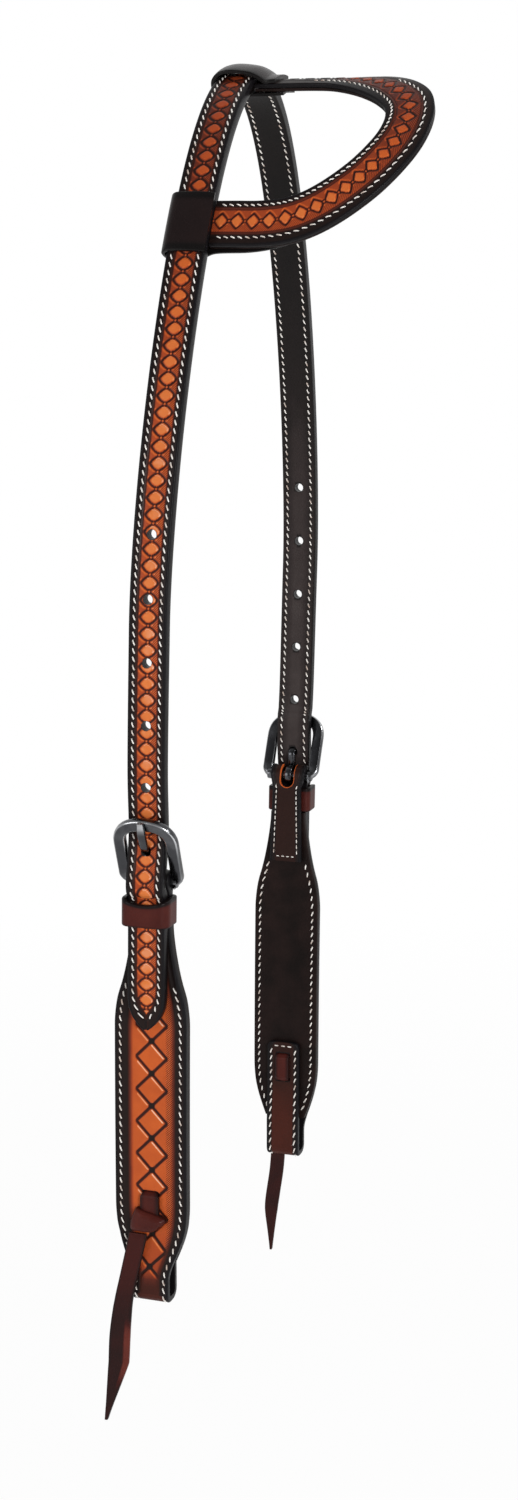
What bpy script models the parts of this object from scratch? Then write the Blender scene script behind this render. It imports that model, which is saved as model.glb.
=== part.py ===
"""Western one-ear headstall, hanging as it does from a peg: metres, +Z up.

The origin is under the crown strap at its highest point. The horse faces -Y. Its right side, which
carries the ear piece, is at -X. Leather is laid out flat and then bent: a place on the crown or the
ear piece is (run along the arch, across, off the surface), and a place on a cheek is
(off the cheek plane, across, height).
"""

import math

import bmesh
import bpy
from mathutils import Vector

# Leather
LAYER_GAP = 0.0003
OVERLAY = 0.0026
CROWN_LINING = 0.0021
CHEEK_LINING = 0.0024
LOOP_LEATHER = 0.0014
KEEPER_LEATHER = 0.0017
EAR_OVERLAY = 0.0017
EAR_LINING = 0.0014
EDGE_ROUND = 0.0006

# Crown strap
CROWN_WIDTH = 0.0159
ARCH_HALF_WIDTH = 0.0993
ARCH_DROP = 0.215
ARCH_TOP_PULL_SHARE = 0.57
ARCH_SIDE_PULL_SHARE = 0.302
SWAY_BACK = 0.011
SWAY_DROP = 0.480
LEFT_RAISED = 0.0045
LEFT_RAISED_SHARES = (
    (0.0, 0.0), (0.888, 0.0), (0.910, 1.0), (1.056, 1.0), (1.20, 0.0), (1.47, 0.0), (1.56, -0.8), (3.0, -0.8),
)
TAIL_BELOW_BAR = 0.062
TAIL_POINT = 0.013
TAIL_POINT_SHARES = ((0.0, 1.0), (0.3, 0.95), (0.6, 0.76), (0.85, 0.45), (1.0, 0.16))
TURN_STEP = math.radians(5.0)
LONG_STEP = 0.022

# Punched holes, an inch apart, and the slot that the tongue has pulled out of the last one
HOLE_PITCH = 0.0254
HOLE_RADIUS = 0.002
FREE_HOLES = 5
HOLE_SIDES = 12
LOWEST_FREE_HOLE_ABOVE_BAR = 0.0405
SLOT_WIDTH = 0.0042
SLOT_BELOW_TONGUE = 0.0029
SLOT_ABOVE_TONGUE = 0.0019

# Cheek piece
CHEEK_INSIDE_ARCH = 0.0076
CHEEK_WIDTH = 0.03175
NECK_WIDTH = 0.0168
FOOT_NECK_WIDTH = 0.0162
BAR_DROP = 0.3201
BAR_OUT = 0.0019
NECK_BELOW_BAR = 0.0195
SHOULDER_LENGTH = 0.041
SHOULDER_SHARES = (
    (0.0, 0.0), (0.09, 0.04), (0.22, 0.134), (0.35, 0.254), (0.48, 0.40), (0.61, 0.58),
    (0.74, 0.816), (0.87, 0.936), (1.0, 1.0),
)
CHEEK_LENGTH = 0.1844
HIP_ABOVE_FOOT = 0.0424
HIP_LENGTH = 0.030
HIP_SHARES = ((0.0, 1.0), (0.12, 0.98), (0.3, 0.91), (0.48, 0.73), (0.67, 0.46), (0.83, 0.2), (1.0, 0.0))
TOP_TAB_BELOW_BAR = 0.0395
TOP_TAB_WIDTH = 0.0156
TOP_TAB_WAIST = 0.0136
FOOT_TAB_LENGTH = 0.0554
FOOT_TAB_WIDTH = 0.016
FOOT_TAB_ROUND = 0.003
FOOT_TAB_ROUND_SHARES = ((0.0, 0.0), (0.35, 0.7), (1.0, 1.0))
BIT_LOOP_SWELL_FRONT = 0.0022
BIT_LOOP_SWELL_BACK = 0.0012
BIT_LOOP_SWELL_END = 0.017
BIT_LOOP_SWELL_START = 0.030
BIT_LOOP_CORNER = 0.003
LINING_ABOVE_FOOT = 0.0182

# Buckle
BAR_RADIUS = 0.0019
BAR_CLEARANCE = 0.0004
FRAME_TILT = math.radians(23.5)
FRAME_REACH = 0.028
FRAME_WIDTH = 0.0276
FRAME_RISE = 0.0095
FRAME_CORNER = 0.0028
RIM_WIDTH = 0.0050
RIM_THICKNESS = 0.0032
RIM_CHAMFER = 0.0008
ARC_STEPS = 14
TONGUE_WIDTH = 0.0032
TONGUE_THICKNESS = 0.0022
TONGUE_CHAMFER = 0.0005
TONGUE_CLEARANCE = 0.00035
TONGUE_CLIMB = 0.0102
TONGUE_LEAN_IN = 0.0015
TONGUE_OUT_ABOVE_BAR = 0.0158
TONGUE_OUT = 0.0021
TONGUE_OVER_RIM = 0.003
TONGUE_BEND = 0.0022
CURL_SWEEP = math.radians(285.0)
TONGUE_SLOT_WIDTH = 0.007
TONGUE_SLOT_BELOW_BAR = 0.0054

# Keeper
KEEPER_HEIGHT = 0.0118
KEEPER_BELOW_BAR = 0.0058
KEEPER_SIDE_SLACK = 0.0003
KEEPER_FRONT_SLACK = 0.0011
KEEPER_CORNER = 0.0032
KEEPER_BACK_CORNER = 0.00145

# Tie through the slits over the bit loop
TIE_WIDTH = 0.0082
TIE_THICKNESS = 0.002
TIE_BEND = 0.0018
SLIT_PITCH = 0.012
SLIT_WIDTH = 0.0074
SLIT_HEIGHT = 0.0032
SLIT_CORNER = 0.001
UPPER_SLIT_ABOVE_FOOT = 0.0487
TIE_WAIST = 0.0066
KNOT_WIDTH = 0.0165
KNOT_HEIGHT = 0.0105
KNOT_RISE = 0.0046
KNOT_ABOVE_FOOT = 0.0375
KNOT_SHARES = (
    (0.5, -0.5), (0.5, -0.12), (0.36, 0.5), (0.2, 0.44), (-0.26, 0.26), (-0.5, 0.06), (-0.13, -0.5),
)
KNOT_CROWN_SHARE = 0.7
TAIL_START_BACK = 0.0043
TAIL_PATH_SHARES = ((0.0, 0.0), (0.1, 0.35), (0.2, 0.8), (0.32, 1.0), (0.5, 0.9), (0.75, 0.6), (1.0, 0.3))
TAIL_SWELL = 0.0011
TAIL_TIP_SHARE = 0.68
RIGHT_TIE_WIDTH = 0.0094
RIGHT_TIE_TAIL = 0.0868
RIGHT_TIE_LEAN = 0.0115
RIGHT_TIE_TIP_BACK = 0.0042
RIGHT_LEAN_SHARES = (
    (0.0, 0.0), (0.03, 0.07), (0.13, 0.23), (0.24, 0.41), (0.34, 0.58), (0.44, 0.68), (0.54, 0.76),
    (0.68, 0.815), (1.0, 1.0),
)
RIGHT_TAPER_SHARES = (
    (0.0, 0.86), (0.24, 0.84), (0.34, 0.86), (0.44, 0.94), (0.54, 1.0), (0.68, 1.0), (1.0, 0.12),
)
LEFT_TIE_WIDTH = 0.0071
LEFT_TIE_TAIL = 0.0866
LEFT_TIE_LEAN = 0.0055
LEFT_TIE_TIP_BACK = 0.0006
LEFT_LEAN_SHARES = ((0.0, 0.0), (0.1, 0.1), (0.3, 0.28), (0.5, 0.48), (0.68, 0.9), (0.75, 1.0), (1.0, 0.88))
LEFT_TAPER_SHARES = ((0.0, 1.0), (0.68, 1.0), (0.75, 0.95), (1.0, 0.12))

# Ear piece: a curved band laid on the arch, centred on a line of (run, forward) shares
EAR_WIDTH = 0.0196
EAR_RUN = 0.0877
EAR_REACH = 0.0791
EAR_LINE_SHARES = (
    (1.0, 0.200), (1.0, 0.341), (0.985, 0.48), (0.943, 0.602), (0.870, 0.722), (0.767, 0.842),
    (0.653, 0.932), (0.546, 0.985), (0.433, 1.0), (0.328, 0.968), (0.240, 0.885), (0.164, 0.775),
    (0.105, 0.660), (0.064, 0.546), (0.049, 0.426), (0.0456, 0.300), (0.0456, 0.200),
)
EAR_POLL_RUN_SHARE = 0.0456
EAR_STEPS = 4

# Each loop round the strap is a row of shares: across the strap's half width, off by the loop's
# rise, then where the leather starts and ends along the arch, in loop widths
LOOP_STEPS = 3
LOWER_LOOP_RISE = 0.0044
LOWER_LOOP_WIDTH = 0.025
LOWER_LOOP_SHARES = (
    (-1.05, 0.78, 3.06, 4.06), (-0.6, 0.92, 3.06, 4.06), (0.0, 1.0, 3.06, 4.06), (0.6, 0.98, 3.06, 4.06),
    (1.0, 0.86, 3.06, 4.06), (1.22, 0.40, 3.06, 4.06), (1.26, -0.2, 3.06, 4.06),
    (1.2, -0.72, 3.06, 4.06), (0.95, -1.0, 3.06, 4.06), (0.5, -1.0, 3.06, 4.06),
    (-0.6, -1.0, 3.08, 4.04), (-1.3, -1.0, 3.16, 3.96), (-3.0, -1.0, 3.16, 3.94),
    (-4.2, -1.0, 3.10, 3.88), (-5.2, -1.0, 3.00, 3.78),
)
POLL_LOOP_RISE = 0.0056
POLL_LOOP_WIDTH = 0.026
POLL_LOOP_SHARES = (
    (-2.1, 0.18, -0.18, 0.51), (-1.8, 0.18, -0.18, 0.53), (-1.55, 0.22, -0.175, 0.60),
    (-1.2, 0.56, -0.17, 0.78), (-0.78, 0.84, -0.17, 0.82), (-0.1, 0.99, -0.17, 0.82),
    (0.45, 1.0, -0.17, 0.82), (0.9, 0.82, -0.17, 0.82), (1.2, 0.38, -0.17, 0.82),
    (1.25, -0.1, -0.17, 0.82), (1.2, -0.52, -0.17, 0.82), (0.95, -0.79, -0.17, 0.82),
    (0.5, -0.79, -0.17, 0.82), (-0.8, -0.79, -0.17, 0.78), (-1.5, -0.79, -0.175, 0.56),
    (-2.5, -0.79, -0.18, 0.51),
)

RIGHT = -1
LEFT = 1
CROWN = OVERLAY + LAYER_GAP + CROWN_LINING
HALF_GAP = LAYER_GAP / 2
CHEEK_PLANE = ARCH_HALF_WIDTH - CHEEK_INSIDE_ARCH
FACE_MIDDLE = HALF_GAP + OVERLAY / 2
TAB_MIDDLE = -HALF_GAP - CHEEK_LINING - LAYER_GAP - OVERLAY / 2
BAR_MIDDLE = (FACE_MIDDLE + TAB_MIDDLE) / 2 + BAR_OUT
WRAP_RADIUS = BAR_RADIUS + BAR_CLEARANCE + OVERLAY / 2
TAIL_MIDDLE = HALF_GAP + OVERLAY + LAYER_GAP + CROWN / 2
STRAP_OVER_BAR = BAR_MIDDLE + WRAP_RADIUS + OVERLAY / 2 + LAYER_GAP + CROWN / 2
FOOT = BAR_DROP + CHEEK_LENGTH
CUT_OVERRUN = 0.004
SHARPEST_MITRE_SHARE = 0.5


def material(name, colour, roughness, metallic=0.0):
    made = bpy.data.materials.new(name)
    made.use_nodes = True
    shader = made.node_tree.nodes["Principled BSDF"]
    shader.inputs["Base Color"].default_value = (*colour, 1.0)
    shader.inputs["Roughness"].default_value = roughness
    shader.inputs["Metallic"].default_value = metallic
    return made


def share_of(table, place):
    """Reads a table of (place, share) pairs at a place between its rows."""
    for (low, first), (high, second) in zip(table, table[1:]):
        if place <= high:
            return first + (second - first) * (place - low) / (high - low)
    return table[-1][1]


def sway(height):
    """How far back the hanging straps lean at a height below the poll."""
    return SWAY_BACK * math.sin(math.pi / 2 * min(1.0, max(0.0, -height / SWAY_DROP)))


def raised(side, height):
    """The left buckle sits a little higher than the right one, and its bit loop hangs lower."""
    if side == RIGHT:
        return height
    return height + LEFT_RAISED * share_of(LEFT_RAISED_SHARES, -height / BAR_DROP)


def world(side, off_centre, across, height):
    return Vector((side * off_centre, across + sway(height), raised(side, height) + CROWN / 2))


def cheek_place(side, off, across, height):
    return world(side, CHEEK_PLANE + off, across, height)


def arch_curve(t):
    """One side of the arch, from the poll (0) to its widest place (1)."""
    top_pull = ARCH_TOP_PULL_SHARE * ARCH_HALF_WIDTH
    side_pull = ARCH_DROP - ARCH_SIDE_PULL_SHARE * ARCH_DROP
    near = 3 * (1 - t) ** 2 * t
    far = 3 * (1 - t) * t * t
    end = t ** 3
    return near * top_pull + (far + end) * ARCH_HALF_WIDTH, -(far * side_pull + end * ARCH_DROP)


def smooth_through(knots, steps):
    """A Catmull-Rom line through knots of any size."""
    ends = [tuple(2 * a - b for a, b in zip(knots[0], knots[1]))]
    ends += [tuple(k) for k in knots]
    ends += [tuple(2 * a - b for a, b in zip(knots[-1], knots[-2]))]
    line = []
    for first, a, b, last in zip(ends, ends[1:], ends[2:], ends[3:]):
        for step in range(steps):
            t = step / steps
            line.append(tuple(
                0.5 * (2 * q + (r - p) * t + (2 * p - 5 * q + 4 * r - s) * t * t
                       + (3 * q - p - 3 * r + s) * t ** 3)
                for p, q, r, s in zip(first, a, b, last)
            ))
    return line + [tuple(knots[-1])]


def behind_rim():
    """How far off the strap's middle may lie behind the rim, and at what height."""
    half = (FRAME_WIDTH - RIM_WIDTH) / 2
    rise = FRAME_RISE * math.sqrt(1 - (CROWN_WIDTH / 2 / half) ** 2)
    rim_foot = FRAME_REACH - FRAME_RISE + rise - RIM_WIDTH / 2
    rim_back = rim_foot * math.sin(FRAME_TILT) - RIM_THICKNESS / 2 * math.cos(FRAME_TILT)
    off = BAR_MIDDLE + rim_back - LAYER_GAP - CROWN / 2
    return off, -BAR_DROP + rim_foot * math.cos(FRAME_TILT)


def strap_run_knots():
    """The strap below the arch: behind the frame's rim, over the bar, then flat on the cheek."""
    rim_off, rim_level = behind_rim()
    keeper_top = -BAR_DROP - KEEPER_BELOW_BAR
    tail_end = -BAR_DROP - TAIL_BELOW_BAR
    return (
        (ARCH_HALF_WIDTH, -ARCH_DROP),
        (ARCH_HALF_WIDTH - LAYER_GAP, rim_level + FRAME_REACH),
        (CHEEK_PLANE + rim_off, rim_level),
        (CHEEK_PLANE + STRAP_OVER_BAR, -BAR_DROP),
        (CHEEK_PLANE + TAIL_MIDDLE + LAYER_GAP, keeper_top),
        (CHEEK_PLANE + TAIL_MIDDLE, keeper_top - KEEPER_HEIGHT),
        (CHEEK_PLANE + TAIL_MIDDLE, tail_end),
    )


class Run:
    """A bent centre line with its length, so that a place on it is a run from the start."""

    def __init__(self, points):
        self.points = points
        self.length = [0.0]
        for a, b in zip(points, points[1:]):
            self.length.append(self.length[-1] + math.dist(a, b))

    def at(self, run):
        """The point at a run, and the direction square to the line there."""
        last = len(self.points) - 1
        i = 0
        while i < last - 1 and self.length[i + 1] < run:
            i += 1
        share = (run - self.length[i]) / (self.length[i + 1] - self.length[i])
        a, b = self.points[i], self.points[i + 1]
        before = self.points[max(0, i - 1)]
        after = self.points[min(last, i + 2)]
        point = [p + (q - p) * share for p, q in zip(a, b)]
        if i == 0:
            before = (-b[0], b[1])
        start = Vector((b[0] - before[0], b[1] - before[1])).normalized()
        end = Vector((after[0] - a[0], after[1] - a[1])).normalized()
        along = (start * (1 - share) + end * share).normalized()
        return point, (-along[1], along[0])

    def stations(self, start, end):
        """Runs close enough together to follow the bends."""
        found = [start]
        turned = 0.0
        for i in range(1, len(self.points) - 1):
            run = self.length[i]
            if run <= start or run >= end:
                continue
            a = Vector(self.points[i]) - Vector(self.points[i - 1])
            b = Vector(self.points[i + 1]) - Vector(self.points[i])
            turned += a.angle(b)
            if turned >= TURN_STEP or run - found[-1] >= LONG_STEP:
                found.append(run)
                turned = 0.0
        if end - found[-1] < LAYER_GAP:
            found.pop()
        return found + [end]


ARCH_POINTS = 120
ARCH = [arch_curve(i / ARCH_POINTS) for i in range(ARCH_POINTS)]
CROWN_RUN = Run(ARCH + smooth_through(strap_run_knots(), 16))


def crown_place(side, run, across, off):
    (out, height), (normal_out, normal_up) = CROWN_RUN.at(abs(run))
    side = side if run >= 0 else -side
    return world(side, out + normal_out * off, across, height + normal_up * off)


def section(low, high, start, end, low_round, high_round, columns=1):
    """A slab's cross-section as (across, off) pairs: the low face one way, the high face back."""
    inside = [i / columns for i in range(columns + 1)]
    if low_round:
        under = [(start, low + low_round)]
        under += [(start + low_round + (end - start - 2 * low_round) * i, low) for i in inside]
        under += [(end, low + low_round)]
    else:
        under = [(start + (end - start) * i, low) for i in inside]
    over = [(end, high - high_round)]
    over += [(end - high_round - (end - start - 2 * high_round) * i, high) for i in inside]
    over += [(start, high - high_round)]
    return under + over


def add(name, mesh_data, finish, origin=None):
    """Makes the object, with its origin on its joint's axis where it has one."""
    origin = origin or Vector((0.0, 0.0, 0.0))
    bmesh.ops.translate(mesh_data, verts=mesh_data.verts, vec=-origin)
    bmesh.ops.recalc_face_normals(mesh_data, faces=mesh_data.faces)
    mesh = bpy.data.meshes.new(name)
    mesh_data.to_mesh(mesh)
    mesh_data.free()
    if finish:
        mesh.materials.append(finish)
    mesh.shade_smooth()
    mesh.set_sharp_from_angle(angle=math.radians(32.0))
    made = bpy.data.objects.new(name, mesh)
    made.location = origin
    bpy.context.collection.objects.link(made)
    return made


def loft(name, rings, finish, origin=None, closed=False):
    """Joins rings of points into one skin, capped at both ends unless it closes on itself."""
    shape = bmesh.new()
    rows = [[shape.verts.new(point) for point in ring] for ring in rings]
    pairs = list(zip(rows, rows[1:]))
    if closed:
        pairs.append((rows[-1], rows[0]))
    for a, b in pairs:
        for i in range(len(a)):
            j = (i + 1) % len(a)
            shape.faces.new((a[i], a[j], b[j], b[i]))
    if not closed:
        shape.faces.new(rows[0])
        shape.faces.new(rows[-1])
    return add(name, shape, finish, origin)


def offsets(line, closed=False):
    """The direction square to a flat line at each point, long enough to keep the thickness."""
    count = len(line)
    found = []
    for i in range(count):
        before = line[i - 1] if closed or i > 0 else None
        after = line[(i + 1) % count] if closed or i < count - 1 else None
        sides = []
        if before:
            sides.append((Vector(line[i]) - Vector(before)).normalized())
        if after:
            sides.append((Vector(after) - Vector(line[i])).normalized())
        normals = [Vector((-s[1], s[0])) for s in sides]
        middle = (normals[0] + normals[-1]).normalized()
        found.append(middle / max(SHARPEST_MITRE_SHARE, middle.dot(normals[0])))
    return found


def corner_arc(a, corner, b, radius):
    """Points that round a corner of a flat line."""
    first = (Vector(a) - Vector(corner)).normalized()
    second = (Vector(b) - Vector(corner)).normalized()
    half = first.angle(second) / 2
    back = radius / math.tan(half)
    start = Vector(corner) + first * back
    end = Vector(corner) + second * back
    centre = Vector(corner) + (first + second).normalized() * (radius / math.sin(half))
    steps = max(2, round((math.pi - 2 * half) / math.radians(24.0)))
    from_centre = start - centre
    sweep = from_centre.angle_signed(end - centre)
    points = []
    for i in range(steps + 1):
        turn = -sweep * i / steps
        points.append((
            centre[0] + from_centre[0] * math.cos(turn) - from_centre[1] * math.sin(turn),
            centre[1] + from_centre[0] * math.sin(turn) + from_centre[1] * math.cos(turn),
        ))
    return points


def rounded(points, radius, closed=False):
    """A flat line with its corners rounded by one radius, or by one for each point."""
    count = len(points)
    radii = radius if isinstance(radius, tuple) else (radius,) * count
    line = [] if closed else [tuple(points[0])]
    inner = range(count) if closed else range(1, count - 1)
    for i in inner:
        line += corner_arc(points[i - 1], points[i], points[(i + 1) % count], radii[i])
    return line if closed else line + [tuple(points[-1])]


def cutter(name, prisms):
    """One hidden object that holds the cuts: (side, low off, high off, outline, climb) each."""
    shape = bmesh.new()
    for side, low, high, outline, climb in prisms:
        near = [shape.verts.new(cheek_place(side, low, across, height)) for across, height in outline]
        far = [
            shape.verts.new(cheek_place(side, high, across, height + climb))
            for across, height in outline
        ]
        for i in range(len(near)):
            j = (i + 1) % len(near)
            shape.faces.new((near[i], near[j], far[j], far[i]))
        shape.faces.new(near)
        shape.faces.new(far)
    made = add(name, shape, None)
    made.hide_render = True
    made.display_type = "WIRE"
    return made


def combine(target, tool, operation="DIFFERENCE"):
    change = target.modifiers.new(tool.name, "BOOLEAN")
    change.operation = operation
    change.solver = "EXACT"
    change.object = tool


def round_slot(width, foot, top, sides=HOLE_SIDES):
    """An upright slot with round ends, or a round hole where its height is its width."""
    radius = width / 2
    half = sides // 2
    outline = []
    for i in range(half + 1):
        turn = math.pi * i / half
        outline.append((radius * math.cos(turn), top - radius + radius * math.sin(turn)))
    for i in range(half + 1):
        turn = math.pi + math.pi * i / half
        point = (radius * math.cos(turn), foot + radius + radius * math.sin(turn))
        if math.dist(point, outline[-1]) > LAYER_GAP and math.dist(point, outline[0]) > LAYER_GAP:
            outline.append(point)
    return outline


def strap_off(height):
    """How far off the cheek's plane the strap's middle lies at a height."""
    points = CROWN_RUN.points
    below = next(i for i, (_, level) in enumerate(points) if level < height)
    (out, high), (next_out, low) = points[below - 1], points[below]
    return out + (next_out - out) * (high - height) / (high - low) - CHEEK_PLANE


def strap_cuts():
    """The free holes and the tongue's slot on both sides of the crown strap."""
    prisms = []
    lowest = -BAR_DROP + LOWEST_FREE_HOLE_ABOVE_BAR
    for side in (RIGHT, LEFT):
        for i in range(FREE_HOLES):
            middle = lowest + i * HOLE_PITCH
            off = strap_off(middle)
            outline = round_slot(2 * HOLE_RADIUS, middle - HOLE_RADIUS, middle + HOLE_RADIUS)
            prisms.append((side, off - CROWN, off + CROWN, outline, 0.0))
        (start, level), (end, end_level) = tongue_through_strap()
        outline = round_slot(SLOT_WIDTH, level - SLOT_BELOW_TONGUE, level + SLOT_ABOVE_TONGUE)
        prisms.append((side, start, end, outline, end_level - level))
    return cutter("strap_cuts", prisms)


def crown_half_width(run, end):
    from_tip = max(0.0, run - (end - TAIL_POINT))
    return CROWN_WIDTH / 2 * share_of(TAIL_POINT_SHARES, from_tip / TAIL_POINT)


def crown_stations():
    end = CROWN_RUN.length[-1]
    runs = CROWN_RUN.stations(0.0, end - TAIL_POINT)
    runs += [end - TAIL_POINT + TAIL_POINT * place for place, _ in TAIL_POINT_SHARES[1:]]
    return [(LEFT, run) for run in reversed(runs[1:])] + [(RIGHT, run) for run in runs]


def crown_layer(name, low, high, low_round, high_round, finish):
    rings = []
    for side, run in crown_stations():
        half = crown_half_width(run, CROWN_RUN.length[-1])
        pairs = section(low, high, -half, half, low_round, high_round)
        rings.append([crown_place(side, run, across, off) for across, off in pairs])
    return loft(name, rings, finish)


def make_crown(tooled, plain):
    cuts = strap_cuts()
    low = -CROWN / 2
    seam = low + CROWN_LINING
    lining = crown_layer("crown_lining", low, seam, EDGE_ROUND, 0.0, plain)
    overlay = crown_layer("crown_overlay", seam + LAYER_GAP, CROWN / 2, 0.0, EDGE_ROUND, tooled)
    for layer in (lining, overlay):
        combine(layer, cuts)


def ear_line():
    """The ear band's centre line as (run, forward) lengths, from the lower loop to the poll."""
    edge = CROWN_WIDTH / 2 + LAYER_GAP
    knots = [(EAR_RUN, edge)]
    knots += [(EAR_RUN * run, EAR_REACH * forward) for run, forward in EAR_LINE_SHARES]
    knots += [(EAR_RUN * EAR_POLL_RUN_SHARE, edge)]
    return smooth_through(knots, EAR_STEPS)


def ear_layer(name, low, high, low_round, high_round, finish):
    line = ear_line()
    rings = []
    for i, (point, square) in enumerate(zip(line, offsets(line))):
        if i in (0, len(line) - 1):
            square = Vector((1.0 if square[0] > 0 else -1.0, 0.0))
        pairs = section(low, high, -EAR_WIDTH / 2, EAR_WIDTH / 2, low_round, high_round, EAR_STEPS)
        ring = []
        for across, off in pairs:
            run = point[0] + square[0] * across
            forward = max(point[1] + square[1] * across, line[0][1])
            ring.append(crown_place(RIGHT, run, -forward, off))
        rings.append(ring)
    return loft(name, rings, finish)


def ear_loop(name, shares, rise, width, finish):
    """A leather loop over the strap and behind the ear band, which is sewn to its legs."""
    knots = [
        (across * CROWN_WIDTH / 2, off * rise, start * width, end * width)
        for across, off, start, end in shares
    ]
    rows = smooth_through(knots, LOOP_STEPS)
    flat_line = [(across, off) for across, off, _, _ in rows]
    rings = []
    for (across, off, start, end), square in zip(rows, offsets(flat_line)):
        pairs = section(
            -LOOP_LEATHER / 2, LOOP_LEATHER / 2, start, end, 0.0, EDGE_ROUND, EAR_STEPS,
        )
        rings.append([
            crown_place(RIGHT, run, across + square[0] * thick, off + square[1] * thick)
            for run, thick in pairs
        ])
    return loft(name, rings, finish)


def make_ear(tooled, plain):
    low = -EAR_OVERLAY - LAYER_GAP - EAR_LINING
    ear_layer("ear_lining", low, low + EAR_LINING, EDGE_ROUND, 0.0, plain)
    ear_layer("ear_overlay", -EAR_OVERLAY, 0.0, 0.0, EDGE_ROUND, tooled)
    ear_loop("ear_lower_loop", LOWER_LOOP_SHARES, LOWER_LOOP_RISE, LOWER_LOOP_WIDTH, plain)
    ear_loop("ear_poll_loop", POLL_LOOP_SHARES, POLL_LOOP_RISE, POLL_LOOP_WIDTH, plain)


def body_half_width(height):
    """Half the cheek's width at a height, from the neck through the shoulder to the foot."""
    neck = NECK_WIDTH / 2
    full = CHEEK_WIDTH / 2
    down = -BAR_DROP - NECK_BELOW_BAR - height
    up = height + FOOT
    if down <= 0:
        return neck
    if down < SHOULDER_LENGTH:
        return neck + (full - neck) * share_of(SHOULDER_SHARES, down / SHOULDER_LENGTH)
    foot_neck = FOOT_NECK_WIDTH / 2
    below_hip = max(0.0, HIP_ABOVE_FOOT - up)
    return foot_neck + (full - foot_neck) * share_of(HIP_SHARES, below_hip / HIP_LENGTH)


def body_heights(top, foot):
    """Heights that follow the cheek's outline, from its neck to just above its foot."""
    neck = -BAR_DROP - NECK_BELOW_BAR
    heights = [neck - SHOULDER_LENGTH * place for place, _ in SHOULDER_SHARES]
    heights += [-FOOT + HIP_ABOVE_FOOT - HIP_LENGTH * place for place, _ in HIP_SHARES]
    return [top] + [h for h in heights if foot < h < top] + [foot]


def cheek_face_rows():
    """The face leather from its top tab, round the bar, down, round the bit loop to its foot tab."""
    flare = -BAR_DROP - KEEPER_BELOW_BAR
    neck = NECK_WIDTH / 2
    rows = [(TAB_MIDDLE, -BAR_DROP - TOP_TAB_BELOW_BAR, TOP_TAB_WIDTH / 2)]
    rows.append((TAB_MIDDLE, flare, TOP_TAB_WAIST / 2))
    steps = 9
    for i in range(steps + 1):
        turn = math.pi - math.pi * i / steps
        off = BAR_MIDDLE + WRAP_RADIUS * math.cos(turn)
        rows.append((off, -BAR_DROP + WRAP_RADIUS * math.sin(turn), neck))
    rows += [(FACE_MIDDLE, h, body_half_width(h)) for h in body_heights(flare, -FOOT + BIT_LOOP_SWELL_START)]
    foot_neck = FOOT_NECK_WIDTH / 2
    front = FACE_MIDDLE + BIT_LOOP_SWELL_FRONT
    back = TAB_MIDDLE - BIT_LOOP_SWELL_BACK
    bottom = -FOOT + OVERLAY / 2
    swell_end = -FOOT + BIT_LOOP_SWELL_END
    rows.append((front, swell_end, body_half_width(swell_end)))
    for corner, a, b in (
        ((front, bottom), (front, swell_end), (back, bottom)),
        ((back, bottom), (front, bottom), (back, swell_end)),
    ):
        rows += [(off, height, foot_neck) for off, height in corner_arc(a, corner, b, BIT_LOOP_CORNER)]
    tab_top = -FOOT + FOOT_TAB_LENGTH
    rows.append((back, swell_end, foot_neck))
    rows.append((TAB_MIDDLE, -FOOT + BIT_LOOP_SWELL_START, FOOT_TAB_WIDTH / 2))
    for place, share in reversed(FOOT_TAB_ROUND_SHARES):
        half = FOOT_TAB_WIDTH / 2 - FOOT_TAB_ROUND * (1 - share)
        rows.append((TAB_MIDDLE, tab_top - FOOT_TAB_ROUND * place, half))
    return rows


def slab_rows(name, side, rows, thickness, rounds, finish, origin=None):
    """A strip of leather through rows of (off, height, half width) on one side."""
    line = [(off, height) for off, height, _ in rows]
    rings = []
    for (off, height, half), square in zip(rows, offsets(line)):
        pairs = section(-thickness / 2, thickness / 2, -half, half, *rounds)
        rings.append([
            cheek_place(side, off + square[0] * thick, across, height + square[1] * thick)
            for across, thick in pairs
        ])
    return loft(name, rings, finish, origin)


def cheek_cuts(label, side):
    """The tongue's slot in the fold, and the two slits for the tie."""
    low = TAB_MIDDLE - BIT_LOOP_SWELL_BACK - CUT_OVERRUN
    high = STRAP_OVER_BAR + CUT_OVERRUN
    foot = -BAR_DROP - TONGUE_SLOT_BELOW_BAR
    top = -BAR_DROP + WRAP_RADIUS + OVERLAY + CUT_OVERRUN
    prisms = [(side, low, high, round_slot(TONGUE_SLOT_WIDTH, foot, top), 0.0)]
    half_wide = SLIT_WIDTH / 2
    half_tall = SLIT_HEIGHT / 2
    for i in range(2):
        middle = -FOOT + UPPER_SLIT_ABOVE_FOOT - i * SLIT_PITCH
        outline = rounded([
            (-half_wide, middle - half_tall), (half_wide, middle - half_tall),
            (half_wide, middle + half_tall), (-half_wide, middle + half_tall),
        ], SLIT_CORNER, closed=True)
        prisms.append((side, low, high, outline, 0.0))
    return cutter(label + "_cheek_cuts", prisms)


def make_cheek(label, side, tooled, plain, bar):
    cuts = cheek_cuts(label, side)
    rows = cheek_face_rows()
    face = slab_rows(label + "_cheek_face", side, rows, OVERLAY, (0.0, EDGE_ROUND), tooled, bar)
    middle = -HALF_GAP - CHEEK_LINING / 2
    top = -BAR_DROP - KEEPER_BELOW_BAR - KEEPER_HEIGHT - LAYER_GAP
    heights = body_heights(top, -FOOT + LINING_ABOVE_FOOT)
    rows = [(middle, height, body_half_width(height)) for height in heights]
    lining = slab_rows(label + "_cheek_lining", side, rows, CHEEK_LINING, (EDGE_ROUND, 0.0), plain, bar)
    combine(face, cuts)
    combine(lining, cuts)


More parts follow.
